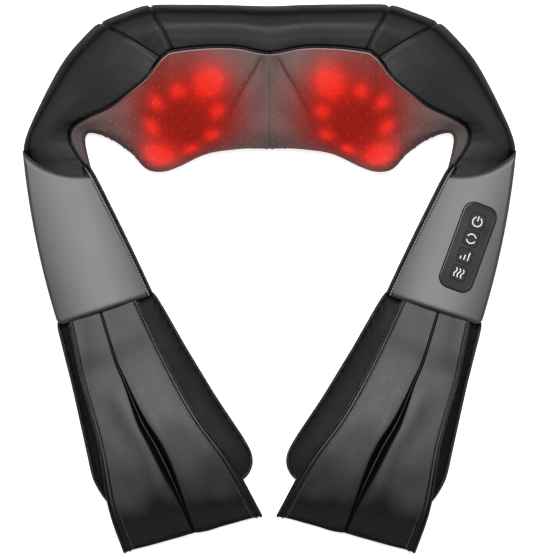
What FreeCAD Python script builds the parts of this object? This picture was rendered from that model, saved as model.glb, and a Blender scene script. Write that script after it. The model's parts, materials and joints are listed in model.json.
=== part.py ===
import FreeCAD, Part
import math
import os

from FreeCAD import Vector

# Shiatsu neck massager, lying on its back.
# +X is the side with the control panel, +Y runs up to the collar, +Z faces the neck.
# Origin: middle of the footprint, on the surface that the massager lies on.

os.makedirs("parts", exist_ok=True)

# ---------------------------------------------------------------- driving sizes, mm
half_width = 203.4          # outer side of the casings from the middle plane
collar_top = 226.0          # top edge of the collar
neck_edge = 109.0           # lower edge of the collar at the middle

leather = 3.0               # leather and its backing
foam = 5.0                  # soft layer under the leather
fabric = 2.0                # thickness of the mesh panel and its backing
seam_bead = 1.5             # how far the piping stands out
soft_gap = 0.4              # air between soft pieces and what they meet

# Hard core in the collar
core_half_length = 112.0
core_wall = 3.0
core_back = 10.0            # height of the core above the surface

# Massage heads
head_spacing = 138.0
head_y = 138.0              # centre of each plate's face
head_z = 74.0
head_tilt = 25.0            # heads lean down towards the neck, degrees
plate_radius = 33.0
plate_thickness = 4.0
large_ring = 27.0
large_radius = 8.0
large_height = 11.0
small_ring = 22.0
small_radius = 5.5
small_height = 10.0
node_turn = 58.0            # line of the large knobs from +X, degrees

# Drive
wheel_teeth = 24
module = 1.5
wheel_width = 8.0
worm_pitch_radius = 6.0
worm_length = 24.0
wheel_depth = 30.0          # wheel's middle behind the plate's face
motor_radius = 15.0
motor_length = 52.0
shaft_radius = 2.0
output_radius = 4.0
running_gap = 0.05          # radial clearance of turning shafts
frame_depth = 11.5          # front face of the frame behind the plate's face
frame_thickness = 3.0

# Arms, measured in the arm's own frame: u across towards the neck, v down the arm
arm_tilt = 18.0
arm_root_x = 175.0
arm_root_y = 119.0
casing_top_outer = (-30.3, 2.8)
casing_top_middle = (-12.6, 25.8)
casing_top_inner = (17.9, 38.7)
casing_end = 149.0
casing_end_outer = -47.2
casing_end_inner = 33.4
casing_side_bow = 4.0
casing_corner = 6.0
casing_crest = 45.0
casing_crown = 75.0
casing_edge_round = 5.0
casing_wall = 2.5
casing_parting = 24.0
arm_pad_thickness = 8.6
binding_width = 5.0
binding_height = 7.0

# Soft neck between the collar and the casing
neck_half_way = 107.0
neck_low_edge = 86.0

# Lower pad and hand strap
cuff_length = 18.0
cuff_height = 38.0
pad_end = 318.0
pad_top_outer = -47.7
pad_top_inner = 38.5
pad_end_outer = -60.0
pad_end_inner = 71.5
pad_corner = 16.0
pad_bottom = 6.0
pad_thickness = 14.0
strap_end = 351.0
strap_top_outer = -38.0
strap_top_inner = 23.0
strap_end_outer = -55.0
strap_end_inner = 64.0
strap_thickness = 5.0
strap_rise = 57.0

# Control panel, in its own frame on the right casing
panel_u = -17.0
panel_v = 91.0
panel_turn = 20.0           # panel axis from +Y, degrees
panel_length = 74.0
panel_width = 29.0
panel_corner = 9.0
panel_gap = 0.3
panel_thickness = 5.0
panel_lip = 2.0
panel_recess = 1.2
button_size = 12.4
button_pitch = 14.9
button_gap = 0.2
button_thickness = 4.0
button_proud = 0.6
button_travel = 0.8
button_corner = 2.5
board_thickness = 1.6
switch_size = 4.5
switch_height = 1.6

# DC inlet in the outer side of the right casing
inlet_v = 122.0
inlet_radius = 5.5
inlet_length = 14.0
inlet_bore = 2.75
inlet_bore_depth = 9.5
inlet_pin = 1.05
inlet_pin_length = 8.0

BIG = 400.0
Z = Vector(0, 0, 1)
X = Vector(1, 0, 0)


# ---------------------------------------------------------------- helpers
def save(name, *solids):
    """Write one node; several separate solids go in one compound."""
    shape = solids[0] if len(solids) == 1 else Part.makeCompound(list(solids))
    if not shape.isValid():
        raise ValueError("invalid " + name)
    shape.exportStep("parts/" + name + ".step")
    print(name, len(shape.Solids), round(shape.Volume))


def clean(shape):
    """Keep the real bodies of a boolean result, without its crumbs."""
    solids = [solid for solid in shape.Solids if solid.Volume > 5.0]
    return solids[0] if len(solids) == 1 else Part.makeCompound(solids)


def mirrored(shape):
    return shape.mirror(Vector(0, 0, 0), X)


def save_pair(name, shape):
    """A left piece and its mirror image on the right."""
    save("left_" + name, shape)
    save("right_" + name, mirrored(shape))


def prism(points, low, high):
    """Straight-sided block standing on a plan outline."""
    corners = [Vector(x, y, low) for x, y in points]
    face = Part.Face(Part.makePolygon(corners + corners[:1]))
    return face.extrude(Vector(0, 0, high - low))


def arc(a, b, c):
    return Part.Arc(a, b, c).toShape()


# ---------------------------------------------------------------- collar envelope
# Stations along the left half of the collar, from the middle to the arm's neck:
# outer point, inner point, ridge height, face height, lip height.
stations = [
    ((0.0, 225.0), (0.0, neck_edge), 97.0, 87.0, 72.0),
    ((36.0, 226.0), (36.0, neck_edge - 2), 98.0, 99.0, 81.0),
    ((70.0, 226.0), (66.0, neck_edge - 12), 100.0, 108.0, 88.0),
    ((98.0, 225.5), (88.0, neck_edge - 19), 97.0, 104.0, 84.0),
    ((140.0, 212.0), (112.0, neck_edge - 5), 85.0, 85.0, 66.0),
    ((168.0, 185.0), (128.0, neck_edge + 6), 71.0, 68.0, 52.0),
    ((187.0, 146.0), (142.0, neck_edge + 12), 58.0, 55.0, 44.0),
    ((197.5, 124.0), (149.0, neck_edge + 14), 50.0, 47.0, 38.0),
]
# Closed section: share of the way from the inner to the outer point, and height
section_shape = [
    (0.08, lambda ridge, face, lip: -2.0),
    (0.50, lambda ridge, face, lip: -3.0),
    (0.92, lambda ridge, face, lip: -2.0),
    (1.00, lambda ridge, face, lip: 0.42 * ridge),
    (0.95, lambda ridge, face, lip: 0.78 * ridge),
    (0.80, lambda ridge, face, lip: ridge),
    (0.42, lambda ridge, face, lip: face),
    (0.10, lambda ridge, face, lip: lip),
    (0.00, lambda ridge, face, lip: 0.50 * lip),
]
section_sides = 18
station_scale = half_width / 203.4
rise = collar_top - 226.0


def section(station, side, inset):
    """Ring of points round the collar at a station, drawn in by inset."""
    outer, inner, ridge, face, lip = station
    near = Vector(side * inner[0] * station_scale, inner[1] + rise, 0)
    far = Vector(side * outer[0] * station_scale, outer[1] + rise, 0)
    points = []
    for share, height in section_shape:
        spot = near + (far - near) * share
        spot.z = height(ridge, face, lip)
        points.append(spot)
    middle = sum(points, Vector(0, 0, 0)) * (1.0 / len(points))
    drawn = [spot - (spot - middle).normalize() * inset for spot in points]
    curve = Part.BSplineCurve()
    curve.interpolate(Points=drawn, PeriodicFlag=True)
    start = curve.FirstParameter
    step = (curve.LastParameter - start) / section_sides
    return [curve.value(start + step * k) for k in range(section_sides)]


def flat_face(corners):
    return Part.Face(Part.makePolygon(corners + corners[:1]))


def skin(rings):
    """Closed body of flat facets through matching rings of points."""
    faces = [flat_face(rings[0]), flat_face(rings[-1])]
    for one, two in zip(rings, rings[1:]):
        if one[0].x > -0.001:       # right half: facets mirror those of the left
            one, two = two, one
        for k in range(len(one)):
            n = (k + 1) % len(one)
            faces.append(flat_face([one[k], one[n], two[n]]))
            faces.append(flat_face([one[k], two[n], two[k]]))
    body = Part.makeSolid(Part.makeShell(faces))
    if body.Volume < 0:
        body.reverse()
    return body


def envelope(inset, floor=0.0):
    """Whole collar as one closed body, flat on its back."""
    left = [section(station, -1, inset) for station in reversed(stations)]
    right = [section(station, 1, inset) for station in stations[1:]]
    body = skin(left + right)
    slab = Part.makeBox(2 * BIG, 2 * BIG, BIG, Vector(-BIG, -BIG, floor))
    return clean(body.common(slab))


collar_outer = envelope(0.0)
collar_inner = envelope(leather, leather)
mesh_inner = envelope(fabric, leather)

# Plan line of the piping between leather and mesh, from the middle to the left
piping_points = [(0, 184), (27, 189), (64, 188), (89, 178), (114, 153), (137, 137), (162, 129)]
mesh_floor = 14.0


def piping_prism(offset, low, high):
    """Block under the mesh region, its upper border moved up by offset."""
    half = [(x * station_scale, y + rise + offset) for x, y in piping_points]
    border = [(-x, y) for x, y in reversed(half)] + half[1:]
    below = neck_edge + rise - 60
    return prism(border + [(half[-1][0], below), (-half[-1][0], below)], low, high)


mesh_zone = piping_prism(0.0, mesh_floor, 140.0)
leather_shell = clean(collar_outer.cut(mesh_zone).cut(collar_inner))
room = Part.makeBox(2 * BIG, 2 * BIG, BIG, Vector(-BIG, -BIG, -50))
beside_mesh = room.cut(piping_prism(-0.2, mesh_floor + 0.2, 140.0))
mesh_panel = clean(collar_outer.cut(beside_mesh).cut(mesh_inner))

bead_zone = piping_prism(seam_bead, mesh_floor, 140.0).cut(piping_prism(-seam_bead, 0.0, 141.0))
bead = clean(envelope(-seam_bead).common(bead_zone).cut(collar_outer))

# Seams of the leather: two lines that meet at the piping
seam_meet = (-82.5 * station_scale, 185.0 + rise)
seam_inner = (-106.5 * station_scale, 249.0 + rise)
seam_outer = (-219.5 * station_scale, 252.0 + rise)
lobe_side = (-BIG, neck_edge + rise - 70)
wedge_zone = prism([seam_meet, seam_inner, seam_outer], -1.0, 150.0)
lobe_zone = prism(
    [seam_meet, seam_outer, (-BIG, seam_outer[1]), lobe_side, (seam_meet[0], lobe_side[1])],
    -1.0, 150.0)

wedge = clean(leather_shell.common(wedge_zone))
lobe = clean(leather_shell.common(lobe_zone))
centre = leather_shell
for zone in (wedge_zone, lobe_zone):
    centre = centre.cut(zone).cut(mirrored(zone))
save("collar_cover_centre", clean(centre))
save_pair("wedge_cover", wedge)
save_pair("lobe_cover", lobe)
save("mesh_panel", mesh_panel)
save("mesh_piping", bead)

# ---------------------------------------------------------------- head frame
tilt = math.radians(head_tilt)
head_axis = Vector(0, -math.sin(tilt), math.cos(tilt))
head_up = Vector(0, math.cos(tilt), math.sin(tilt))
head_centre = Vector(head_spacing / 2, head_y + rise, head_z)


def head_point(x, s, h):
    """A point by its X, its way up the plate's plane and its height on the head axis."""
    return Vector(x, head_centre.y, head_centre.z) + head_up * s + head_axis * h


def head_disc(radius, low, high, s=0.0, x=None):
    x = head_centre.x if x is None else x
    return Part.makeCylinder(radius, high - low, head_point(x, s, low), head_axis)


def head_slab(x_low, x_high, s_low, s_high, low, high):
    """Box lying in the plane of the heads."""
    corners = [head_point(x_low, s_low, low), head_point(x_high, s_low, low),
               head_point(x_high, s_high, low), head_point(x_low, s_high, low)]
    return Part.Face(Part.makePolygon(corners + corners[:1])).extrude(head_axis * (high - low))


# ---------------------------------------------------------------- core
frame_back = -frame_depth - frame_thickness
lip_low = -29.0
lip_high = 50.0


def yz(point):
    return (point.y, point.z)


core_outline = [
    (neck_edge + rise + 9, core_back),
    (collar_top - 20.0, core_back),
    (collar_top - 13.0, 40.0),
    (collar_top - 19.0, 76.0),
    yz(head_point(0, lip_high, -frame_depth)),
    yz(head_point(0, lip_low, -frame_depth)),
]


def core_block(inset):
    """The core's outline along X, drawn in by inset on every side."""
    corners = [Vector(0, y, z) for y, z in core_outline]
    outline = Part.makePolygon(corners + corners[:1])
    if inset:
        outline = outline.makeOffset2D(-inset, 2)
    length = core_half_length - inset
    return Part.Face(outline).extrude(X * 2 * length).translated(Vector(-length, 0, 0))


front_of_shell = head_slab(-BIG, BIG, -BIG, BIG, frame_back, BIG)
shell_body = core_block(0.0).cut(front_of_shell).cut(core_block(core_wall))
boss_spots = [(104.0, 34.0), (104.0, -20.0), (-104.0, 34.0), (-104.0, -20.0)]
boss_radius = 3.5
screw_radius = 1.4
for x, s in boss_spots:
    boss = head_disc(boss_radius, -95.0, frame_back, s, x).common(core_block(0.0))
    shell_body = shell_body.fuse(boss)
for x, s in boss_spots:
    shell_body = shell_body.cut(head_disc(screw_radius, frame_back - 12, frame_back + 1, s, x))
save("core_back_shell", clean(shell_body.removeSplitter()))

bush_radius = 7.0
frame_plate = head_slab(-core_half_length, core_half_length, lip_low, lip_high,
                        frame_back, -frame_depth)
for side in (-1, 1):
    x = side * head_centre.x
    frame_plate = frame_plate.cut(head_disc(bush_radius, -20.0, 0.0, 0.0, x))
for x, s in boss_spots:
    frame_plate = frame_plate.cut(head_disc(screw_radius, -20.0, 0.0, s, x))
save("core_front_frame", clean(frame_plate))

screws = []
for x, s in boss_spots:
    shank = head_disc(screw_radius, frame_back - 11, -frame_depth, s, x)
    head = head_disc(3.0, -frame_depth, -frame_depth + 1.8, s, x)
    screws.append(shank.fuse(head).removeSplitter())
save("core_screws", *screws)

soft = envelope(leather + soft_gap, leather + soft_gap)
collar_foam = soft.cut(envelope(leather + foam, leather + foam)).cut(mesh_zone)
middle_slab = Part.makeBox(2 * core_half_length, BIG, BIG, Vector(-core_half_length, 0, 0))
collar_foam = collar_foam.common(middle_slab).cut(core_block(0.0)).cut(frame_plate)
lobe_fill = soft.common(Part.makeBox(BIG, BIG, BIG, Vector(-BIG - core_half_length - 1, 0, 0)))
lobe_fill = clean(lobe_fill.cut(piping_prism(0.4, leather, 140.0)))
save("collar_foam", *clean(collar_foam).Solids, *lobe_fill.Solids, *mirrored(lobe_fill).Solids)

# ---------------------------------------------------------------- motor and rotor
wheel_pitch_radius = wheel_teeth * module / 2
centre_distance = wheel_pitch_radius + worm_pitch_radius
shaft_line = head_point(0, centre_distance, -wheel_depth)


def on_shaft(radius, x_low, x_high):
    base = Vector(x_low, shaft_line.y, shaft_line.z)
    return Part.makeCylinder(radius, x_high - x_low, base, X)


half_motor = motor_length / 2
shaft_bore = shaft_radius + running_gap
cap_thickness = 4.0
can = on_shaft(motor_radius, -half_motor, half_motor - cap_thickness)
cap = on_shaft(motor_radius, half_motor - cap_thickness, half_motor)
cap = cap.fuse(on_shaft(5.0, half_motor, half_motor + 3)).removeSplitter()
bore = on_shaft(shaft_bore, -BIG, BIG)
save("motor_can", can.cut(bore))
save("motor_end_cap", cap.cut(bore))

strap_half = 7.0
ring = on_shaft(motor_radius + 2.5, -strap_half, strap_half).cut(on_shaft(motor_radius, -BIG, BIG))
foot_top = frame_back - 0.1
for way in (-1, 1):
    inner = centre_distance + way * (motor_radius + 0.4)
    outer = centre_distance + way * (motor_radius + 9.0)
    foot = head_slab(-strap_half, strap_half, min(inner, outer), max(inner, outer),
                     foot_top - 2.5, foot_top)
    wall = head_slab(-strap_half, strap_half, min(inner, inner + way * 2.1),
                     max(inner, inner + way * 2.1), -wheel_depth, foot_top)
    ring = ring.fuse(foot).fuse(wall)
ring = ring.cut(head_slab(-BIG, BIG, -BIG, BIG, foot_top, BIG))
save("motor_bracket", clean(ring.removeSplitter()))

shaft_half = head_spacing / 2 + worm_length / 2 + 12.0
bearings = []
for side in (-1, 1):
    block_x = side * (shaft_half - 4.0)
    block = head_slab(block_x - 3, block_x + 3, centre_distance - 8, centre_distance + 8,
                      -wheel_depth - 6, foot_top)
    bearings.append(block.cut(bore))
save("shaft_bearings", *bearings)
save("motor_shaft", on_shaft(shaft_radius, -shaft_half, shaft_half))


def worm():
    """Right-hand worm on the right end of the shaft, in mesh with the wheel."""
    lead = math.pi * module
    root = worm_pitch_radius - 1.25 * module + 0.25
    tip = worm_pitch_radius + 0.9 * module
    turns = int(worm_length / lead) - 1
    height = turns * lead
    helix = Part.makeHelix(lead, height, root)
    half_foot = 0.30 * lead
    half_tip = 0.12 * lead
    inside = root - 0.3
    tooth = Part.makePolygon([
        Vector(inside, 0, -half_foot), Vector(tip, 0, -half_tip),
        Vector(tip, 0, half_tip), Vector(inside, 0, half_foot), Vector(inside, 0, -half_foot)])
    thread = Part.Wire(helix.Edges).makePipeShell([tooth], True, True)
    barrel = Part.makeCylinder(root, worm_length, Vector(0, 0, (height - worm_length) / 2))
    body = barrel.fuse(thread).removeSplitter()
    body = body.cut(Part.makeCylinder(shaft_radius, 2 * BIG, Vector(0, 0, -BIG)))
    # A whole number of turns each way puts the thread's crest line under the wheel
    crest_turn = 180.0 if turns % 2 else 0.0
    body.translate(Vector(0, 0, -height / 2))
    body.rotate(Vector(0, 0, 0), Z, crest_turn)
    # Local Z goes to +X; local X goes to the side that faces the wheel
    to_wheel = -1 * head_up
    third = X.cross(to_wheel)
    frame = FreeCAD.Matrix(to_wheel.x, third.x, X.x, head_centre.x,
                           to_wheel.y, third.y, X.y, shaft_line.y,
                           to_wheel.z, third.z, X.z, shaft_line.z,
                           0, 0, 0, 1)
    return clean(body.transformGeometry(frame))


right_worm = worm()
save("right_worm", right_worm)
save("left_worm", mirrored(right_worm))


# ---------------------------------------------------------------- heads
def worm_wheel():
    """Wheel with slanted gaps; one gap faces the worm."""
    lead_angle = math.degrees(math.atan(module / (2 * worm_pitch_radius)))
    tip = wheel_pitch_radius + 0.85 * module
    root = wheel_pitch_radius - 1.1 * module
    wheel = Part.makeCylinder(tip, wheel_width, Vector(0, 0, -wheel_width / 2))
    gap_tip = 0.40 * math.pi * module
    gap_root = 0.26 * math.pi * module
    below = -wheel_width
    gap = Part.Face(Part.makePolygon([
        Vector(-gap_root, root, below), Vector(gap_root, root, below),
        Vector(gap_tip, tip + 1, below), Vector(-gap_tip, tip + 1, below),
        Vector(-gap_root, root, below)])).extrude(Vector(0, 0, 2 * wheel_width))
    gap.rotate(Vector(0, 0, 0), Vector(0, 1, 0), -lead_angle)
    gaps = []
    for tooth in range(wheel_teeth):
        copy = gap.copy()
        copy.rotate(Vector(0, 0, 0), Z, tooth * 360.0 / wheel_teeth)
        gaps.append(copy)
    wheel = wheel.cut(gaps)
    wheel = wheel.cut(Part.makeCylinder(output_radius, BIG, Vector(0, 0, -BIG / 2)))
    wheel.rotate(Vector(0, 0, 0), X, head_tilt)
    wheel.translate(head_point(head_centre.x, 0, -wheel_depth))
    return clean(wheel)


wheel = worm_wheel()
output_shaft = head_disc(output_radius, -wheel_depth - wheel_width / 2 - 2, -1.0)
plate = head_disc(plate_radius, -plate_thickness, 0.0)
plate = plate.cut(head_disc(output_radius, -BIG / 4, -1.0))


def knob(ring_radius, angle, radius, height):
    """Round-topped knob standing on the plate."""
    turn = math.radians(angle)
    x = head_centre.x + ring_radius * math.cos(turn)
    s = ring_radius * math.sin(turn)
    stem = head_disc(radius, 0.0, height - radius, s, x)
    ball = Part.makeSphere(radius, head_point(x, s, height - radius))
    ball = ball.cut(head_slab(-BIG, BIG, -BIG, BIG, -BIG, 0.0))
    return stem.fuse(ball).removeSplitter()


large = [knob(large_ring, 180 - node_turn + k * 180, large_radius, large_height) for k in range(2)]
small_angles = [45, 90, 135, 225, 270, 315]
small = [knob(small_ring, 180 - node_turn + a, small_radius, small_height) for a in small_angles]

heads = {
    "worm_wheel": [wheel],
    "output_shaft": [output_shaft],
    "head_plate": [plate],
    "large_knobs": large,
    "small_knobs": small,
}
for name, solids in heads.items():
    save("right_" + name, *solids)
    save("left_" + name, *[mirrored(solid) for solid in solids])

bush = head_disc(bush_radius, frame_back - 4, -frame_depth + 3)
bush = bush.cut(head_disc(output_radius + running_gap, -BIG / 2, BIG / 2))
save("right_output_bush", bush)
save("left_output_bush", mirrored(bush))

board = head_disc(30.0, -frame_depth, -frame_depth + 1.6).cut(head_disc(bush_radius + 0.5, -BIG, 0))
for angle in range(0, 360, 60):
    x = head_centre.x + 24.0 * math.cos(math.radians(angle))
    s = 24.0 * math.sin(math.radians(angle))
    board = board.fuse(head_disc(2.5, -frame_depth + 1.6, -frame_depth + 5.0, s, x))
board = board.removeSplitter()
save("right_heat_board", board)
save("left_heat_board", mirrored(board))

# ---------------------------------------------------------------- arm frame, left side
turn = math.radians(arm_tilt)
arm_origin = Vector(-arm_root_x * station_scale, arm_root_y + rise, 0)
arm_u = Vector(math.cos(turn), math.sin(turn), 0)
arm_v = Vector(math.sin(turn), -math.cos(turn), 0)


def arm(u, v, z=0.0):
    return arm_origin + arm_u * u + arm_v * v + Z * z


def casing_outline(low):
    """Plan outline of the casing as a wire at height low."""
    a = arm(*casing_top_outer, low)
    b = arm(*casing_top_inner, low)
    c = arm(casing_end_inner, casing_end, low)
    d = arm(casing_end_outer, casing_end, low)
    side_v = (casing_top_outer[1] + casing_end) / 2
    outer_u = (casing_top_outer[0] + casing_end_outer) / 2 - casing_side_bow
    inner_v = (casing_top_inner[1] + casing_end) / 2
    inner_u = (casing_top_inner[0] + casing_end_inner) / 2
    top_edge = arc(a, arm(*casing_top_middle, low), b)
    inner_edge = arc(b, arm(inner_u + 0.6, inner_v, low), c)
    end_edge = Part.makeLine(c, d)
    outer_edge = arc(d, arm(outer_u, side_v, low), a)
    return Part.Wire([top_edge, inner_edge, end_edge, outer_edge])


def casing_block(grow, low, high):
    wire = casing_outline(low)
    if grow:
        wire = wire.makeOffset2D(grow, 0)
    return Part.Face(wire).extrude(Vector(0, 0, high - low))


crown_u = (casing_top_outer[0] + casing_top_inner[0] + casing_end_outer + casing_end_inner) / 4
crown_base = arm(crown_u - 1.0, -80.0, casing_crest - casing_crown)


def crown(inset):
    return Part.makeCylinder(casing_crown - inset, 350.0, crown_base, arm_v)


casing_low = arm_pad_thickness + soft_gap
casing = casing_block(0.0, casing_low, BIG / 4)
upright = [edge for edge in casing.Edges if abs(edge.tangentAt(edge.FirstParameter).z) > 0.99]
foot = [edge for edge in upright if (edge.CenterOfMass - arm_origin).dot(arm_v) > casing_end - 5]
casing = casing.makeFillet(casing_corner, foot).common(crown(0.0))
rim = [edge for edge in casing.Edges
       if edge.BoundBox.ZMin > casing_parting and edge.BoundBox.ZMax - casing_low > 5]
rim = [edge for edge in rim if edge.Length > 12]
casing = casing.makeFillet(casing_edge_round, rim)
hollow = casing_block(-casing_wall, casing_low + casing_wall, BIG / 4).common(crown(casing_wall))
casing_shell = clean(casing.cut(hollow))
upper = Part.makeBox(2 * BIG, 2 * BIG, BIG, Vector(-BIG, -BIG, casing_parting))
left_front = clean(casing_shell.common(upper))
left_back = clean(casing_shell.cut(upper))
save("left_casing_front", left_front)

# ---------------------------------------------------------------- control panel, right casing
panel_spot = arm(panel_u, panel_v)
panel_side = math.degrees(math.asin((panel_u - crown_u + 1.0) / casing_crown))
panel_height = casing_crest - casing_crown * (1 - math.cos(math.radians(panel_side)))
panel_base = Vector(-panel_spot.x, panel_spot.y, panel_height)
lie = FreeCAD.Rotation(Z, -panel_turn).multiply(FreeCAD.Rotation(Vector(0, 1, 0), -panel_side))
panel_frame = FreeCAD.Placement(panel_base, lie)


def on_panel(shape):
    shape = shape.copy()
    shape.Placement = panel_frame.multiply(shape.Placement)
    return shape


def pill(length, width, radius, low, high):
    """Upright block with rounded corners, long side along the panel."""
    block = Part.makeBox(width, length, high - low, Vector(-width / 2, -length / 2, low))
    upright = [edge for edge in block.Edges if abs(edge.tangentAt(edge.FirstParameter).z) > 0.99]
    return block.makeFillet(radius, upright)


pocket = pill(panel_length + 2 * panel_gap, panel_width + 2 * panel_gap,
              panel_corner + panel_gap, -14.0, 12.0)
bezel = pill(panel_length, panel_width, panel_corner, -panel_thickness, 0.6)
top_rim = [edge for edge in bezel.Edges if edge.BoundBox.ZMin > 0.5]
bezel = bezel.makeFillet(0.9, top_rim)
bezel = bezel.cut(pill(panel_length - 2 * panel_lip, panel_width - 2 * panel_lip,
                       panel_corner - panel_lip, -panel_recess, 5.0))
rows = [(1.5 - k) * button_pitch for k in range(4)]
hole_size = button_size + 2 * button_gap
for row in rows:
    hole = pill(hole_size, hole_size, button_corner + button_gap, -20.0, 20.0)
    bezel = bezel.cut(hole.translated(Vector(0, row, 0)))
save("control_bezel", on_panel(clean(bezel)))

button_names = ["power_button", "direction_button", "intensity_button", "heat_button"]
button_top = -panel_recess + button_proud
for name, row in zip(button_names, rows):
    cap = pill(button_size, button_size, button_corner, button_top - button_thickness, button_top)
    crest = [edge for edge in cap.Edges if edge.BoundBox.ZMin > button_top - 0.01]
    cap = cap.makeFillet(0.5, crest)
    save(name, on_panel(cap.translated(Vector(0, row, 0))))

switch_top = button_top - button_thickness - button_travel - 0.1
board_top = switch_top - switch_height
board = pill(panel_length - 6, panel_width - 6, 6.0, board_top - board_thickness, board_top)
switches = [pill(switch_size, switch_size, 0.5, board_top, switch_top).translated(
    Vector(0, row, 0)) for row in rows]
save("control_board", on_panel(board))
save("tact_switches", *[on_panel(switch) for switch in switches])

# DC inlet: a barrel with a centre pin, opening through the casing's outer side
inlet_z = casing_parting
wall_u = casing_end_outer + 1.5


def inlet_rod(radius, low, high):
    """Round bar across the casing wall, low and high measured inwards from the wall."""
    return Part.makeCylinder(radius, high - low, arm(wall_u + low, inlet_v, inlet_z), arm_u)


inlet = inlet_rod(inlet_radius, 0.0, inlet_length)
inlet = inlet.cut(inlet_rod(inlet_bore, -1.0, inlet_bore_depth))
inlet = inlet.fuse(inlet_rod(inlet_pin, inlet_bore_depth - inlet_pin_length, inlet_bore_depth))
inlet_hole = inlet_rod(inlet_radius, -20.0, inlet_length)
save("dc_inlet", mirrored(clean(inlet)))

right_front = mirrored(left_front).cut(on_panel(pocket)).cut(mirrored(inlet_hole))
right_back = mirrored(left_back).cut(mirrored(inlet_hole))
save("right_casing_front", clean(right_front))
save("left_casing_back", left_back)
save("right_casing_back", clean(right_back))

# ---------------------------------------------------------------- arm pad and binding
pad_grow = binding_width + soft_gap
wide = casing_block(pad_grow, 0.0, arm_pad_thickness + binding_height)
inner_side = Part.Face(Part.makePolygon([
    arm(casing_top_inner[0] - 6, casing_top_inner[1] - 12, -1.0),
    arm(BIG / 2, casing_top_inner[1] - 12, -1.0),
    arm(BIG / 2, casing_end, -1.0),
    arm(casing_end_inner - 6, casing_end, -1.0),
    arm(casing_top_inner[0] - 6, casing_top_inner[1] - 12, -1.0)])).extrude(Vector(0, 0, 60))
around = casing_block(soft_gap, -1.0, 60.0)
strip = wide.cut(around).common(inner_side)
low_slab = Part.makeBox(2 * BIG, 2 * BIG, arm_pad_thickness, Vector(-BIG, -BIG, 0))
binding = clean(strip.cut(low_slab))
arm_pad = clean(casing_block(0.0, 0.0, arm_pad_thickness).fuse(
    strip.fuse(casing_block(soft_gap, 0, arm_pad_thickness).common(inner_side)).common(low_slab)
).removeSplitter())
save_pair("arm_pad", arm_pad)
save_pair("edge_binding", binding)

# ---------------------------------------------------------------- soft neck of the arm
half_way = ((202.2, neck_half_way), (152.0, neck_half_way + 3),
            casing_crest + 3, casing_crest + 1, 35.0)
low_end = ((203.4, neck_low_edge), (146.0, neck_low_edge - 2),
           casing_crest + 1, casing_crest - 1, 34.0)
neck_stations = [stations[-1], half_way, low_end]
neck = skin([section(station, -1, 0.0) for station in neck_stations])
neck = neck.common(Part.makeBox(2 * BIG, 2 * BIG, BIG, Vector(-BIG, -BIG, 1.6)))
neck = neck.cut(casing_block(soft_gap, -1.0, 100.0)).cut(wide)
neck = max(neck.cut(collar_outer).Solids, key=lambda solid: solid.Volume)
save_pair("arm_neck", neck)

# ---------------------------------------------------------------- lower pad, cuff and hand strap
cuff_start = casing_end + soft_gap
cuff_stop = cuff_start + cuff_length


def arm_prism(points, low, high):
    corners = [arm(u, v, low) for u, v in points]
    face = Part.Face(Part.makePolygon(corners + corners[:1]))
    return face.extrude(Vector(0, 0, high - low))


pad_start = cuff_stop + soft_gap
lower_pad = arm_prism([
    (pad_top_outer, pad_start), (pad_top_inner, pad_start),
    (pad_end_inner, pad_end), (pad_end_outer, pad_end)], pad_bottom, pad_bottom + pad_thickness)
upright = [edge for edge in lower_pad.Edges
           if abs(edge.tangentAt(edge.FirstParameter).z) > 0.99
           and (edge.CenterOfMass - arm_origin).dot(arm_v) > pad_end - 20]
lower_pad = lower_pad.makeFillet(pad_corner, upright)
rim = [edge for edge in lower_pad.Edges if abs(edge.CenterOfMass.z - pad_bottom - pad_thickness) < 0.1]
lower_pad = lower_pad.makeFillet(4.0, rim)
save_pair("lower_pad", lower_pad)

cuff = arm_prism([(pad_top_outer + 1, cuff_start), (pad_top_inner - 2, cuff_start),
                  (pad_top_inner, cuff_stop), (pad_top_outer, cuff_stop)], 2.0, pad_bottom
                 + pad_thickness)
cuff = cuff.fuse(arm_prism([(strap_top_outer, cuff_start), (strap_top_inner, cuff_start),
                            (strap_top_inner + 2, cuff_stop), (strap_top_outer - 1, cuff_stop)],
                           pad_bottom + pad_thickness, cuff_height))
save_pair("cuff", clean(cuff.removeSplitter()))


def strap_side(v, z):
    """A point of the strap's side view, on the plane u = -BIG."""
    return arm(-BIG / 2, v, z)


# Side view of the strap: over the hand, round the fold and back under the pad
fold_z = 9.0
fold_back = strap_end - 14.0
flap_end = pad_end - 42.0
strap_start_z = cuff_height - 1.0
strap_middle = 235.0
strap_shoulder = 312.0
side = [
    arc(strap_side(pad_start, strap_start_z), strap_side(strap_middle, strap_rise),
        strap_side(strap_shoulder, 37.0)),
    arc(strap_side(strap_shoulder, 37.0), strap_side(strap_end - 14.0, 23.0),
        strap_side(strap_end, fold_z)),
    arc(strap_side(strap_end, fold_z), strap_side(strap_end - 5.5, 1.8),
        strap_side(fold_back, 0.0)),
    Part.makeLine(strap_side(fold_back, 0.0), strap_side(flap_end, 0.0)),
    Part.makeLine(strap_side(flap_end, 0.0), strap_side(flap_end, strap_thickness)),
    Part.makeLine(strap_side(flap_end, strap_thickness), strap_side(fold_back, strap_thickness)),
    arc(strap_side(fold_back, strap_thickness), strap_side(strap_end - 7.5, 7.0),
        strap_side(strap_end - 7.0, 11.0)),
    arc(strap_side(strap_end - 7.0, 11.0), strap_side(strap_end - 18.0, 20.0),
        strap_side(strap_shoulder - 3.0, 33.0)),
    arc(strap_side(strap_shoulder - 3.0, 33.0),
        strap_side(strap_middle, strap_rise - strap_thickness),
        strap_side(pad_start, strap_start_z - strap_thickness)),
    Part.makeLine(strap_side(pad_start, strap_start_z - strap_thickness),
                  strap_side(pad_start, strap_start_z)),
]
strap_band = Part.Face(Part.Wire(side)).extrude(arm_u * BIG)
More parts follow.
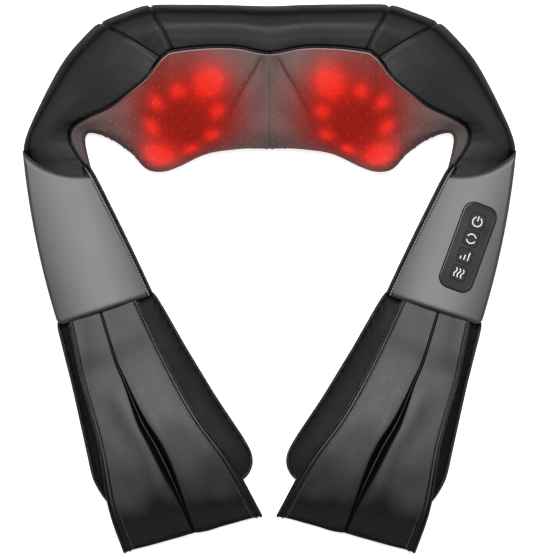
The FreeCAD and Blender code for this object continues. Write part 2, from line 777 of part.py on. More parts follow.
strap_plan = Part.Face(Part.Wire([
    Part.makeLine(arm(strap_top_outer, cuff_stop, -1), arm(strap_top_inner, cuff_stop, -1)),
    arc(arm(strap_top_inner, cuff_stop, -1), arm(strap_top_inner + 16.0, 258.0, -1),
        arm(strap_end_inner, strap_end - 4, -1)),
    arc(arm(strap_end_inner, strap_end - 4, -1), arm(4.0, strap_end + 0.1, -1),
        arm(strap_end_outer, strap_end - 6, -1)),
    arc(arm(strap_end_outer, strap_end - 6, -1), arm(strap_top_outer - 6.0, 252.0, -1),
        arm(strap_top_outer, cuff_stop, -1)),
])).extrude(Vector(0, 0, 90))
hand_strap = clean(strap_band.common(strap_plan))
save_pair("hand_strap", hand_strap)
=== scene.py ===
# %% [markdown]
# # A shiatsu neck massager
#
# The massager lies on its back. A padded collar holds two turning heads behind a
# mesh, a grey casing sits on each arm, and each arm ends in a pad with a strap for
# the hand. The working model gives the hard parts and says where things are. This
# lesson makes the soft parts and all the finishes around it.

# %% Start from the working model
import json
import math

import bpy
import numpy as np
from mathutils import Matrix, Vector, noise

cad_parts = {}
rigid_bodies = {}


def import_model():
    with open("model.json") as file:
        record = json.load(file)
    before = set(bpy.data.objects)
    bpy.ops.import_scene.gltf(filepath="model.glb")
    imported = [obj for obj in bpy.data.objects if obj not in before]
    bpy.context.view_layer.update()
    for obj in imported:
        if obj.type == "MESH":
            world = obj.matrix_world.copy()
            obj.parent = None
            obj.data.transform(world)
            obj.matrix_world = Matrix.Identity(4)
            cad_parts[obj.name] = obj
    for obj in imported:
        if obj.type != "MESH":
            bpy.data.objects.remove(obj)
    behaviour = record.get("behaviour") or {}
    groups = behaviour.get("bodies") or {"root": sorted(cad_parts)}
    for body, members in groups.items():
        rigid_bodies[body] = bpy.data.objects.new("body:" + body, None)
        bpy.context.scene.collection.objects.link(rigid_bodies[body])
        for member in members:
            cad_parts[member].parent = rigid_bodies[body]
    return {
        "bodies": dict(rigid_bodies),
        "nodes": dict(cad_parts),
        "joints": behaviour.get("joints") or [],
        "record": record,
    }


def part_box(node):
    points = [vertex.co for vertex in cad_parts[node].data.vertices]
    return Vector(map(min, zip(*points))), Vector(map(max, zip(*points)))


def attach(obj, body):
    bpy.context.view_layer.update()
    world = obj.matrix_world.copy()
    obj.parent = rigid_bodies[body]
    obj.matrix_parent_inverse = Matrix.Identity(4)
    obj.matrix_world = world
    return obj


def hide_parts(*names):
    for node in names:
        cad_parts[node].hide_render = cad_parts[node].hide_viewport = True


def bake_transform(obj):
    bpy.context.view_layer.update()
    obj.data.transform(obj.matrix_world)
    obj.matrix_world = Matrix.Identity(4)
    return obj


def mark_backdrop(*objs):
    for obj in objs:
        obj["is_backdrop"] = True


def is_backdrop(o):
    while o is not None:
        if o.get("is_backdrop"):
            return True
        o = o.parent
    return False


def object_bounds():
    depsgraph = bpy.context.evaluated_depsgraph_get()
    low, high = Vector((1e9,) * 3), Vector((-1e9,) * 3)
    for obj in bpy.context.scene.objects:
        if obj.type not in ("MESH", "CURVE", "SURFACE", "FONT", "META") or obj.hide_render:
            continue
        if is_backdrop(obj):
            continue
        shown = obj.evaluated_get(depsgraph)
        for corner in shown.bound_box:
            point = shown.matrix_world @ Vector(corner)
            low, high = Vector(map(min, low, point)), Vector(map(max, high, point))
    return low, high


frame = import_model()
record = frame["record"]
cad_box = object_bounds()
MM = 0.001
hand_of = {"left": -1, "right": 1}
print("the working model is", [round(d, 3) for d in cad_box[1] - cad_box[0]], "m")

# %% [markdown]
# ## Curves and surfaces
#
# Nearly every soft piece here is a grid of points: rows along the piece and columns
# across it. A few guide points are enough for each row, because a smooth curve runs
# through them. The same curve then runs from row to row. Writing the grid out in
# code, instead of modelling by hand, keeps left and right alike and lets a seam lie
# exactly on a row.


# %% A smooth curve through guide points
def through(points, where):
    """Smooth curve through points, read at the places where (0 is the first point)."""
    points = np.asarray(points, float)
    where = np.clip(np.asarray(where, float), 0, len(points) - 1)
    first = 2 * points[0] - points[1]
    last = 2 * points[-1] - points[-2]
    padded = np.concatenate([[first], points, [last]])
    k = np.minimum(where.astype(int), len(points) - 2)
    f = (where - k).reshape(-1, *([1] * (points.ndim - 1)))
    a, b, c, d = padded[k], padded[k + 1], padded[k + 2], padded[k + 3]
    return 0.5 * (2 * b + (c - a) * f + (2 * a - 5 * b + 4 * c - d) * f**2
                  + (3 * b - a - 3 * c + d) * f**3)


def mix(a, b, share):
    return a + (b - a) * share


def bell(distance, width):
    """1 on a line, fading to 0 a little beyond width."""
    return np.exp(-(distance / width) ** 2)


# %% Grids of points and what is made from them
def grid_normals(points):
    """Unit normals of a grid, rows x columns x 3."""
    down = np.gradient(points, axis=0)
    across = np.gradient(points, axis=1)
    normals = np.cross(across, down)
    length = np.linalg.norm(normals, axis=2, keepdims=True)
    return normals / np.maximum(length, 1e-12)


def grid_faces(rows, cols, start=0, flip=False, ring=False):
    """Quads of a grid; ring joins the last column to the first."""
    faces = []
    for r in range(rows - 1):
        for c in range(cols if ring else cols - 1):
            n = (c + 1) % cols
            quad = [r * cols + c, r * cols + n, (r + 1) * cols + n, (r + 1) * cols + c]
            quad = [start + i for i in quad]
            faces.append(quad[::-1] if flip else quad)
    return faces


def tube_faces(rings, sides, start=0, flip=False):
    """Quads of a tube, with one face over each end."""
    first = list(range(start, start + sides))
    last = [i + (rings - 1) * sides for i in first]
    caps = [first, last[::-1]] if flip else [first[::-1], last]
    return grid_faces(rings, sides, start, flip, True) + caps


def fan_faces(first, sides, tip, flip=False):
    """Triangles from a ring of points to one tip."""
    faces = [[first + k, first + (k + 1) % sides, tip] for k in range(sides)]
    return [face[::-1] for face in faces] if flip else faces


def make_piece(name, verts, faces, material, uvs=None):
    """A mesh object; uvs, when given, holds one pair for each vertex."""
    mesh = bpy.data.meshes.new(name)
    mesh.from_pydata([tuple(v) for v in verts], [], faces)
    mesh.update()
    if uvs is not None:
        layer = mesh.uv_layers.new(name="UVMap")
        loops = np.empty(len(mesh.loops), int)
        mesh.loops.foreach_get("vertex_index", loops)
        layer.data.foreach_set("uv", np.asarray(uvs, float)[loops].ravel())
    mesh.polygons.foreach_set("use_smooth", [True] * len(mesh.polygons))
    mesh.materials.append(material)
    piece = bpy.data.objects.new(name, mesh)
    bpy.context.collection.objects.link(piece)
    return piece


def arc_lengths(points, axis):
    """Distance run along one axis of a grid of points, in metres."""
    steps = np.linalg.norm(np.diff(points, axis=axis), axis=2)
    first = np.zeros_like(np.take(steps, [0], axis=axis))
    return np.cumsum(np.concatenate([first, steps], axis=axis), axis=axis)


def make_shell(name, points, thickness, material, outward=1, ring=False, uv=None):
    """A closed skin: the grid is its outer face, and it is thickness deep."""
    rows, cols = points.shape[:2]
    inner = points - grid_normals(points) * thickness * outward
    verts = np.concatenate([points.reshape(-1, 3), inner.reshape(-1, 3)])
    count = rows * cols
    flip = outward < 0
    faces = grid_faces(rows, cols, 0, flip, ring)
    faces += grid_faces(rows, cols, count, not flip, ring)
    edges = [[(0, c) for c in range(cols)], [(rows - 1, c) for c in range(cols)][::-1]]
    if ring:
        edges = [line + line[:1] for line in edges]
    else:
        edges += [[(r, cols - 1) for r in range(rows)], [(r, 0) for r in range(rows)][::-1]]
    for line in edges:
        for (r1, c1), (r2, c2) in zip(line, line[1:]):
            i, j = r1 * cols + c1, r2 * cols + c2
            quad = [j, i, i + count, j + count]
            faces.append(quad[::-1] if flip else quad)
    if uv is None:
        uv = np.stack([arc_lengths(points, 1), arc_lengths(points, 0)], axis=2)
    shell = make_piece(name, verts, faces, material, np.tile(uv.reshape(-1, 2), (2, 1)))
    smooth = np.arange(len(faces)) < 2 * (rows - 1) * (cols if ring else cols - 1)
    shell.data.polygons.foreach_set("use_smooth", smooth)
    return shell


# %% [markdown]
# ## Cords and stitches
#
# Piping is a thin covered cord sewn into a seam, and thread shows as a row of short
# raised stitches. Both follow a line of points. The cord is a ring of points carried
# along that line, and each stitch is one small capsule laid along it. Modelling them
# as real meshes keeps them crisp from every side.


# %% Cords along a line
def run_along(line):
    """Distance run along a line of points."""
    return np.concatenate([[0], np.cumsum(np.linalg.norm(np.diff(line, axis=0), axis=1))])


def read_columns(where, run, values):
    """Every column of values, read at new places along a run."""
    return np.stack([np.interp(where, run, column) for column in values.T], axis=-1)


def even_line(line, step):
    """The same line with points a step apart."""
    line = np.asarray(line, float)
    run = run_along(line)
    count = max(2, int(run[-1] / step) + 1)
    return read_columns(np.linspace(0, run[-1], count), run, line)


def line_frames(line, up):
    """Side and top directions along a line."""
    ahead = np.gradient(line, axis=0)
    ahead /= np.linalg.norm(ahead, axis=1, keepdims=True)
    up = np.broadcast_to(np.asarray(up, float), line.shape)
    side = np.cross(ahead, up)
    side /= np.maximum(np.linalg.norm(side, axis=1, keepdims=True), 1e-12)
    return ahead, side, np.cross(side, ahead)


def make_cord(name, line, wide, tall, material, up=(0, 0, 1), step=1.5 * MM, sides=12):
    """An oval cord along a line, with rounded ends."""
    line = even_line(line, step)
    ahead, side, top = line_frames(line, up)
    turn = np.linspace(0, 2 * math.pi, sides, endpoint=False)
    taper = np.ones(len(line))
    taper[0] = taper[-1] = 0.35
    ring = (np.cos(turn)[None, :, None] * side[:, None, :] * wide / 2
            + np.sin(turn)[None, :, None] * top[:, None, :] * tall / 2)
    points = line[:, None, :] + ring * taper[:, None, None]
    run = arc_lengths(points, 0)
    uv = np.stack([np.broadcast_to(turn / 50, run.shape), run], axis=2).reshape(-1, 2)
    faces = tube_faces(len(line), sides, 0, True)
    return make_piece(name, points.reshape(-1, 3), faces, material, uv)


# %% Stitches along a line
def make_stitches(name, line, up, material, pitch=3.2 * MM, length=2.3 * MM, thick=0.7 * MM):
    """A row of raised stitches; every stitch is one small closed capsule."""
    line = np.asarray(line, float)
    spots = even_line(line, pitch)
    if np.ndim(up) == 2:
        up = read_columns(np.linspace(0, len(up) - 1, len(spots)), range(len(up)), up)
    ahead, side, top = line_frames(spots, up)
    sides, rings = 6, 5
    turn = np.linspace(0, 2 * math.pi, sides, endpoint=False)
    verts, faces = [], []
    for p, a, s, t in zip(spots, ahead, side, top):
        faces += tube_faces(rings, sides, len(verts))
        for k in range(rings):
            along = math.cos(math.pi * k / (rings - 1))
            girth = max(0.12, math.sin(math.pi * k / (rings - 1)) ** 0.5)
            for angle in turn:
                verts.append(p + a * along * length / 2
                             + (s * math.cos(angle) + t * math.sin(angle)) * girth * thick / 2)
    return make_piece(name, verts, faces, material)


# %% [markdown]
# ## Finishes
#
# Each finish is a small tree of nodes. A helper adds nodes and links them, so that a
# finish reads as a recipe: what varies the colour, what varies the shine, and what
# raises the surface. Values that are the same everywhere are set on the shader.


# %% A helper for finishes
class Finish:
    """A material with its shader, and short ways to add nodes."""

    def __init__(self, name, color, roughness, **sockets):
        self.material = bpy.data.materials.new(name)
        self.material.use_nodes = True
        self.tree = self.material.node_tree
        self.shader = self.tree.nodes["Principled BSDF"]
        self.material.diffuse_color = (*color, 1)
        self.shader.inputs["Base Color"].default_value = (*color, 1)
        self.shader.inputs["Roughness"].default_value = roughness
        for socket, value in sockets.items():
            self.shader.inputs[socket.replace("_", " ")].default_value = value

    def add(self, kind, inputs=None, **settings):
        node = self.tree.nodes.new("ShaderNode" + kind)
        for key, value in settings.items():
            setattr(node, key, value)
        for key, value in (inputs or {}).items():
            socket = node.inputs[key]
            if isinstance(value, bpy.types.NodeSocket):
                self.tree.links.new(value, socket)
            else:
                socket.default_value = value
        return node

    def link(self, output, socket):
        self.tree.links.new(output, self.shader.inputs[socket])

    def place(self, kind="UV"):
        return self.add("TexCoord").outputs[kind]

    def math(self, operation, a, b=0.0):
        return self.add("Math", {0: a, 1: b}, operation=operation).outputs[0]

    def spread(self, value, low, high, new_low, new_high):
        ends = {"From Min": low, "From Max": high, "To Min": new_low, "To Max": new_high}
        return self.add("MapRange", {"Value": value, **ends}).outputs["Result"]

    def noise(self, place, scale, detail=3.0, rough=0.5):
        inputs = {"Vector": place, "Scale": scale, "Detail": detail, "Roughness": rough}
        return self.add("TexNoise", inputs).outputs["Fac"]

    def colors(self, value, color, dark, light):
        """Shade the colour between two shares of itself."""
        ramp = self.add("ValToRGB", {"Fac": value})
        for stop, share in zip(ramp.color_ramp.elements, (dark, light)):
            stop.color = (*(min(1, c * share) for c in color), 1)
        self.link(ramp.outputs["Color"], "Base Color")
        return ramp.outputs["Color"]

    def shine_by(self, value, shine, less, more):
        """Let the roughness wander a little around its middle value."""
        self.link(self.spread(value, 0.3, 0.7, shine - less, shine + more), "Roughness")

    def to_rim(self, start, end, square, rim):
        """A value for faces seen squarely that becomes another one toward the rim."""
        facing = self.add("LayerWeight", {"Blend": 0.5}).outputs["Facing"]
        return self.spread(facing, start, end, square, rim)

    def paint_rim_shade(self, color, start, end, rim):
        """Paint shade into the colour where the face turns away from the eye."""
        share = self.to_rim(start, end, 1.0, rim)
        dimmed = self.add("VectorMath", {0: color, "Scale": share}, operation="SCALE")
        self.link(dimmed.outputs[0], "Base Color")

    def raise_by(self, height, distance, strength):
        inputs = {"Height": height, "Distance": distance, "Strength": strength}
        self.link(self.add("Bump", inputs).outputs["Normal"], "Normal")


# %% [markdown]
# ### Black leather
#
# The cover is soft synthetic leather: nearly black, with small pebbles about a
# millimetre across and a satin shine. Cell noise gives pebbles with creases between
# them. A wider noise changes the shine from place to place, as handling does. Faces
# that turn away from the eye get painted shade in their colour and a duller shine, so
# the rims stay deep black.


# %% Black leather
def make_leather(name, color, shine, pebble=1.0, specular=0.4, rim=(0.1, 0.6, 0.3)):
    leather = Finish(name, color, shine)
    place = leather.place()
    pebbles = leather.add("TexVoronoi", {"Vector": place, "Scale": 950.0 / pebble,
                                         "Randomness": 1.0}, feature="DISTANCE_TO_EDGE")
    crease = leather.spread(pebbles.outputs["Distance"], 0.0, 0.22, 0.0, 1.0)
    fine = leather.noise(place, 2600.0, 4.0, 0.6)
    wide = leather.noise(place, 34.0, 4.0, 0.55)
    height = leather.math("ADD", crease, leather.math("MULTIPLY", fine, 0.5))
    tone = leather.math("ADD", leather.math("MULTIPLY", wide, 0.7),
                        leather.math("MULTIPLY", crease, 0.3))
    # painted shade: the colour darkens toward the rims
    leather.paint_rim_shade(leather.colors(tone, color, 0.75, 1.7), *rim)
    leather.link(leather.to_rim(0.04, 0.4, specular, 0.01), "Specular IOR Level")
    leather.shine_by(wide, shine, 0.06, 0.08)
    leather.raise_by(height, 0.00012, 0.55)
    return leather.material


# the last numbers of each leather set its painted rim shade; piping and pad keep the default one
collar_leather = make_leather("collar_leather", (0.0225, 0.0225, 0.0228), 0.5, 1.0, 0.22,
                              (0.03, 0.5, 0.1))
strap_leather = make_leather("strap_leather", (0.05, 0.05, 0.0503), 0.45, 1.1, 0.3,
                             (0.045, 0.2, 0.06))
piping_leather = make_leather("piping_leather", (0.004, 0.004, 0.004), 0.3, 0.7)
pad_leather = make_leather("pad_leather", (0.003, 0.003, 0.003), 0.62, 1.0, 0.25)
print("four leathers")


# %% Thread
def make_thread(name, color):
    thread = Finish(name, color, 0.75, Sheen_Weight=0.3)
    fibre = thread.noise(thread.place("Object"), 3000.0, 2.0)
    thread.colors(fibre, color, 0.6, 1.4)
    thread.raise_by(fibre, 0.0001, 0.4)
    return thread.material


dark_thread = make_thread("dark_thread", (0.02, 0.02, 0.021))
grey_thread = make_thread("grey_thread", (0.3, 0.29, 0.29))
# painted highlight: the hem cord's light colour stands in for a highlight along the piping
hem_painted_highlight = make_thread("hem_painted_highlight", (0.3, 0.22, 0.21))
print("three threads")

# %% [markdown]
# ### Mesh that glows over the heads
#
# The heads carry red lamps, and their light shows through the mesh as soft spots: two
# wide ones and six small ones on each head. That light is painted onto the fabric as
# emission, a painted glow. The spots have to turn with the heads, so the finish
# measures every point of the fabric in the head's own place, and adds a soft spot of
# painted light round each knob. A wider soft spot gives the halo, where the red light
# is also painted into the fabric's colour as a dark red. Far from the heads the fabric
# is a plain warm grey.


# %% Where each head is
tilt = math.radians(25)
head_spot = {}
for side in hand_of:
    joint = next(j for j in frame["joints"] if j["name"] == side + "_head_spin")
    head_spot[side] = Vector(joint["pos_m"])
    print(side, "head turns about", [round(v, 3) for v in head_spot[side]])

large_turn = math.radians(56)
wide_spots = [(37, large_turn, 13.0, 1.1), (37, large_turn + math.pi, 13.5, 1.2)]
small_turns = (45, 90, 135, 225, 270, 315)
small_spots = [(27, large_turn + math.radians(a), 6.6, 0.72) for a in small_turns]


# %% Mesh fabric with the glow of one head
thread_pitch = 1.1 * MM
halo_reach, head_reach = 51.0, 76.0
far_grey = (0.107, 0.09, 0.089)


def make_mesh_fabric(name, side, base, dots):
    fabric = Finish(name, base, 0.9, Specular_IOR_Level=0.02)
    place = fabric.place()
    split = fabric.add("SeparateXYZ", {0: place})
    turns = 2 * math.pi / thread_pitch
    warp, weft = (fabric.math("SINE", fabric.math("MULTIPLY", split.outputs[k], turns))
                  for k in (0, 1))
    weave = fabric.math("MULTIPLY", warp, weft)
    fuzz = fabric.noise(place, 900.0, 3.0)
    tone = fabric.math("ADD", fabric.math("MULTIPLY", weave, 0.25),
                       fabric.noise(place, 60.0, 3.0))
    tone = fabric.colors(tone, base, 0.72, 1.28)
    height = fabric.math("ADD", weave, fuzz)
    fabric.raise_by(height, 0.00018, 0.25 if dots else 0.6)

    head = frame["bodies"][side + "_head"]
    spot = head_spot[side]
    here = fabric.add("TexCoord", object=head).outputs["Object"]
    where = fabric.add("VectorMath", {0: here, 1: spot}, operation="SUBTRACT").outputs[0]
    up = fabric.add("VectorMath", {0: where, 1: (0, math.cos(tilt), math.sin(tilt))},
                    operation="DOT_PRODUCT").outputs["Value"]
    across = fabric.add("SeparateXYZ", {0: where}).outputs[0]
    flat = fabric.add("CombineXYZ", {0: across, 1: up}).outputs[0]

    def soft_spot(ring, angle, width, power, steep=2):
        centre = (-hand_of[side] * ring * math.cos(angle) * MM, ring * math.sin(angle) * MM, 0)
        far = fabric.add("VectorMath", {0: flat, 1: centre}, operation="DISTANCE")
        ratio = fabric.math("DIVIDE", far.outputs["Value"], width * MM)
        fall = fabric.math("POWER", math.exp(-1), fabric.math("POWER", ratio, steep))
        return fabric.math("MULTIPLY", fall, power)

    halo = soft_spot(5, large_turn, halo_reach, 1.0, steep=5)
    spots = fabric.math("MULTIPLY", halo, 0.06)
    for ring, angle, width, power in wide_spots + small_spots:
        spots = fabric.math("ADD", spots, soft_spot(ring, angle, width, power))
    cloudy = fabric.spread(fabric.noise(place, 130.0, 3.0), 0.25, 0.75, 0.8, 1.15)
    spots = fabric.math("MULTIPLY", spots, cloudy)
    glow = fabric.math("ADD", fabric.math("MULTIPLY", spots, 0.72),
                       fabric.math("MULTIPLY", halo, 0.2))
    # painted glow: the lamps' red light, painted onto the fabric as emission
    ramp = fabric.add("ValToRGB", {"Fac": glow})
    ramp.color_ramp.elements[0].color = (0, 0, 0, 1)
    ramp.color_ramp.elements[1].color = (0.82, 0.018, 0.008, 1)
    for stop, color in ((0.18, (0.13, 0.004, 0.003)), (0.45, (0.42, 0.009, 0.006)),
                        (0.7, (0.75, 0.016, 0.008))):
        ramp.color_ramp.elements.new(stop).color = (*color, 1)
    fabric.link(ramp.outputs["Color"], "Emission Color")
    # painted red light: inside the halo the base colour turns dark red
    halo_painted_red = (0.14, 0.02, 0.015) if dots else (0.09, 0.007, 0.004)
    near = soft_spot(0, 0, head_reach, 1.0, steep=6)
    plain = fabric.add("MixRGB", {"Fac": near, "Color1": (*far_grey, 1), "Color2": tone})
    lit = fabric.add("MixRGB", {"Fac": halo, "Color1": plain.outputs["Color"],
                                "Color2": (*halo_painted_red, 1)})
    fabric.link(lit.outputs["Color"], "Base Color")
    fabric.shader.inputs["Emission Strength"].default_value = 1.0
    return fabric.material


mesh_base = (0.2, 0.11, 0.102)
dot_base = (0.235, 0.15, 0.14)
mesh_fabric = {side: make_mesh_fabric(side + "_mesh_fabric", side, mesh_base, False)
               for side in hand_of}
dot_fabric = {side: make_mesh_fabric(side + "_mesh_dots", side, dot_base, True)
              for side in hand_of}
print("mesh fabric and its dots, for", len(mesh_fabric), "heads")

# %% [markdown]
# ## The collar
#
# The collar is a thick cushion bent into a U. Its cross-section changes all the way
# along: tall over the heads, low where the arms begin. So it is described by stations.
# Each station has an outer point, a point on the seam between leather and mesh, and an
# inner point, all in plan, and four heights. Rings of guide points are hung on them,
# and smooth curves through the rings make the skin. The leather panels and the mesh
# are cut from the same skin, so they meet exactly at the seams.

# %% Stations of the collar, in millimetres, from the middle to the casing
#   outer x, y,   seam x, y,      inner x, y,    ridge, seam, face and lip heights
stations = np.array([
    (0.0, 224.8, 0.0, 184.3, 0.0, 109.0, 97, 91, 80, 60),
    (30.0, 225.8, 27.0, 188.8, 25.0, 108.7, 98, 92, 92, 68),
    (65.0, 226.2, 54.0, 188.8, 51.0, 104.5, 99, 93, 104, 82),
    (98.0, 225.8, 78.6, 186.0, 74.0, 94.0, 98, 93, 107, 88),
    (118.0, 220.0, 83.5, 183.4, 86.0, 90.0, 95, 92, 105, 87),
    (138.6, 211.4, 88.0, 179.5, 97.0, 90.5, 90, 90, 99, 82),
    (153.0, 199.0, 100.0, 164.5, 104.5, 95.0, 84, 87, 92, 74),
    (167.2, 183.0, 114.4, 153.0, 112.0, 103.5, 76, 80, 82, 66),
    (180.5, 161.0, 130.0, 142.0, 127.0, 114.5, 66, 69, 69, 56),
    (190.8, 141.0, 148.0, 134.0, 140.0, 120.3, 58, 58, 57, 48),
    (198.4, 125.0, 160.7, 126.3, 149.0, 121.5, 52, 48, 47, 42),
    (202.4, 113.5, 163.6, 116.4, 152.0, 116.0, 47, 43, 42, 38),
    (203.0, 105.0, 158.0, 103.7, 150.0, 104.0, 43, 41, 39, 35),
    (199.5, 95.0, 152.0, 95.0, 147.5, 94.0, 39, 38, 36, 32),
    (197.0, 85.0, 149.0, 85.0, 146.0, 84.0, 36, 35, 34, 30),
])
inner_seam, outer_seam, collar_end = 3, 5, len(stations) - 1
print(len(stations), "stations a side")


# %% Rings of guide points
def station_values(rows):
    """Station values at each row; the collar is symmetric, so it starts level."""
    before = stations[1] * np.array([-1, 1] * 3 + [1] * 4)
    return through(np.concatenate([[before], stations]), np.asarray(rows) + 1)


def split_values(values):
    outer, seam, inner = values[:, 0:2], values[:, 2:4], values[:, 4:6]
    return outer, seam, inner, values[:, 6], values[:, 7], values[:, 8], values[:, 9]


def ring_points(parts):
    """Guide rings: each part is a plan point and a height for every row."""
    return np.stack([np.column_stack([plan, height]) for plan, height in parts], axis=1) * MM


def leather_rings(rows):
    outer, seam, inner, ridge, seam_z, face, lip = split_values(station_values(rows))
    return ring_points([
        (seam, seam_z),
        (mix(seam, outer, 0.25), mix(seam_z, ridge, 0.75)),
        (mix(seam, outer, 0.55), ridge),
        (mix(seam, outer, 0.86), ridge * 0.86),
        (outer, ridge * 0.50),
        (mix(outer, inner, 0.02), ridge * 0.20),
        (mix(outer, inner, 0.11), ridge * 0.02 + 0.6),
        (mix(outer, inner, 0.50), ridge * 0 + 0.4),
        (mix(outer, inner, 0.86), ridge * 0 + 1.4),
        (mix(outer, inner, 0.97), lip * 0.17),
    ])


def mesh_rings(rows):
    outer, seam, inner, ridge, seam_z, face, lip = split_values(station_values(rows))
    return ring_points([
        (seam, seam_z),
        (mix(seam, inner, 0.28), mix(seam_z, face, 0.92)),
        (mix(seam, inner, 0.58), mix(face, lip, 0.42)),
        (mix(seam, inner, 0.86), lip),
        (inner, lip * 0.62),
        (mix(inner, outer, 0.008), lip * 0.36),
        (mix(inner, outer, 0.03), lip * 0.17),
    ])


# %% Rows and columns, closer together at the edges of a panel
def marks(low, high, count, tight=(0.012, 0.03, 0.06, 0.11)):
    """Even marks from low to high, with extra ones close to both ends."""
    tight = np.array(tight)
    return np.unique(np.concatenate([
        np.linspace(low, high, count), [low], low + tight, high - tight, [high]]))


lowest_skin = 0.3 * MM


def skin(rings, rows, cols):
    """Points of the skin at rows and cols, for the left half of the collar."""
    points = through(rings(rows).transpose(1, 0, 2), cols).transpose(1, 0, 2)
    points[:, :, 0] *= -1
    points[:, :, 2] = np.maximum(points[:, :, 2], lowest_skin)
    return points


def edge_distance(points, axis, at_end):
    """How far each point is from one border of the grid, along the skin."""
    run = arc_lengths(points, axis)
    last = run[-1:] if axis == 0 else run[:, -1:]
    return last - run if at_end else run


def ripple(points, size, seed):
    """Gentle uneven swelling, the same on every run."""
    flat = points.reshape(-1, 3)
    values = [noise.noise(Vector(p) / size + Vector((seed, 0.3, 0.7))) for p in flat]
    return np.array(values).reshape(points.shape[:2])


def tuck(points, borders, outward=1, depth=1.5 * MM, width=1.5 * MM, pucker=0.12 * MM):
    """Draw a panel in at its sewn borders, with the small puckers that thread pulls."""
    pucker_pitch, pucker_middle, pucker_reach = 8.5 * MM, 5 * MM, 6 * MM
    normals = grid_normals(points)
    move = np.zeros(points.shape[:2])
    for axis, at_end in borders:
        far = edge_distance(points, axis, at_end)
        move -= depth * bell(far, width)
        run = arc_lengths(points, 1 - axis)
        wave = np.sin(run / pucker_pitch * 2 * math.pi + 3 * ripple(points, 0.02, 5.0))
        move += pucker * wave * bell(far - pucker_middle, pucker_reach)
    return points + normals * outward * move[:, :, None]


print("the collar can be read at any row and column")

# %% [markdown]
# ### Leather panels
#
# Five panels make the leather part: a middle panel along the top, a wedge on each
# side, and a lobe that runs down to the casing. On the real collar they are cut flat
# and sewn, so each panel swells a little and dips at its seams. Here every panel is
# drawn in at its borders and given a faint ripple.


def mirrored(points):
    return points * np.array([-1, 1, 1])


def place_on_side(points, side):
    """Everything is drawn for the left side; the right side is its mirror image."""
    return points if side == "left" else mirrored(points)


def bend_with_arm(piece):
    """Bake the piece's place into its points; it is not tied to the arm and does not bend."""
    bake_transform(piece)


# %% Middle panel
leather_thick = 2.4 * MM
leather_cols = marks(0, 9, 96, (0.02, 0.05, 0.1, 0.2))


def leather_pair(name, points):
    """A left panel of leather and its mirror image."""
    return {side: make_shell(f"{side}_{name}", place_on_side(points, side), leather_thick,
                             collar_leather, outward=-hand_of[side]) for side in hand_of}


rows = marks(0, inner_seam, 34)
half = tuck(skin(leather_rings, rows, leather_cols), [(0, True), (1, False), (1, True)])
full = np.concatenate([half[::-1], mirrored(half[1:])])
full += grid_normals(full) * ripple(full, 0.045, 1.0)[:, :, None] * -0.5 * MM
middle_panel = make_shell("middle_panel", full, leather_thick, collar_leather, outward=-1)
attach(middle_panel, "collar")
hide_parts("collar_cover_centre", "collar_foam")
print("middle panel:", full.shape[0], "by", full.shape[1], "points")

# %% Wedges and lobes
rows = marks(inner_seam, outer_seam, 22)
points = tuck(skin(leather_rings, rows, leather_cols),
              [(0, False), (0, True), (1, False), (1, True)])
points -= grid_normals(points) * ripple(points, 0.04, 2.0)[:, :, None] * 0.4 * MM
wedges = leather_pair("wedge", points)
for side, wedge in wedges.items():
    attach(wedge, "collar")
    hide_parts(side + "_wedge_cover")

rows = marks(outer_seam, collar_end, 96)
points = tuck(skin(leather_rings, rows, leather_cols), [(0, False), (1, False), (1, True)])
points -= grid_normals(points) * ripple(points, 0.045, 3.0)[:, :, None] * 0.8 * MM
lobes = leather_pair("lobe", points)
for side, lobe in lobes.items():
    bend_with_arm(lobe)
    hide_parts(side + "_lobe_cover", side + "_arm_neck")
print("wedges and lobes are on")

# %% [markdown]
# ### The mesh
#
# The mesh stretches over the turning heads and wraps under the collar. It is a thin
# fabric with rows of small raised dots. It sags between the heads, and two folds run
# down and outward from the top of that hollow. The sag comes from the stations; the
# folds are drawn here as narrow valleys in the skin.

# %% Folds between the heads
fold_line = np.array([(-5.0, 181.0), (-9.0, 170.0), (-18.0, 156.0), (-27.0, 140.0),
                      (-34.0, 122.0)]) * MM


def fold_distance(points):
    """Distance in plan from every point to the fold line."""
    plan = points[:, :, :2].reshape(-1, 1, 2)
    line = even_line(np.column_stack([fold_line, np.zeros(len(fold_line))]), 1.5 * MM)
    gaps = np.linalg.norm(plan - line[None, :, :2], axis=2)
    return gaps.min(axis=1).reshape(points.shape[:2])


mesh_rows = np.unique(np.concatenate([
    np.linspace(0, 2, 60), np.linspace(2, collar_end, 130), [collar_end - 0.02]]))
mesh_cols = marks(0, 6, 84, (0.02, 0.05, 0.1, 0.2))
mesh_skin = skin(mesh_rings, mesh_rows, mesh_cols)
far = fold_distance(mesh_skin)
fold_top, fold_end, fold_deep, bulge = 183.5 * MM, 118 * MM, 4.2, 1.2
fade = np.clip((mesh_skin[:, :, 1] - fold_end) / (50 * MM), 0.25, 1.0)
fade = fade * np.clip((fold_top - mesh_skin[:, :, 1]) / (8 * MM), 0.0, 1.0)
move = (-fold_deep * bell(far, 3 * MM) + bulge * bell(far - 9 * MM, 7 * MM)) * fade * MM
mesh_skin = mesh_skin - grid_normals(mesh_skin) * move[:, :, None]
mesh_skin = tuck(mesh_skin, [(1, False)], -1, 1.2 * MM, 2.2 * MM, 0.05 * MM)
mesh_skin[0, :, 0] = 0
print("the fold is", round(float(np.min(move)) * 1000, 1), "mm deep")

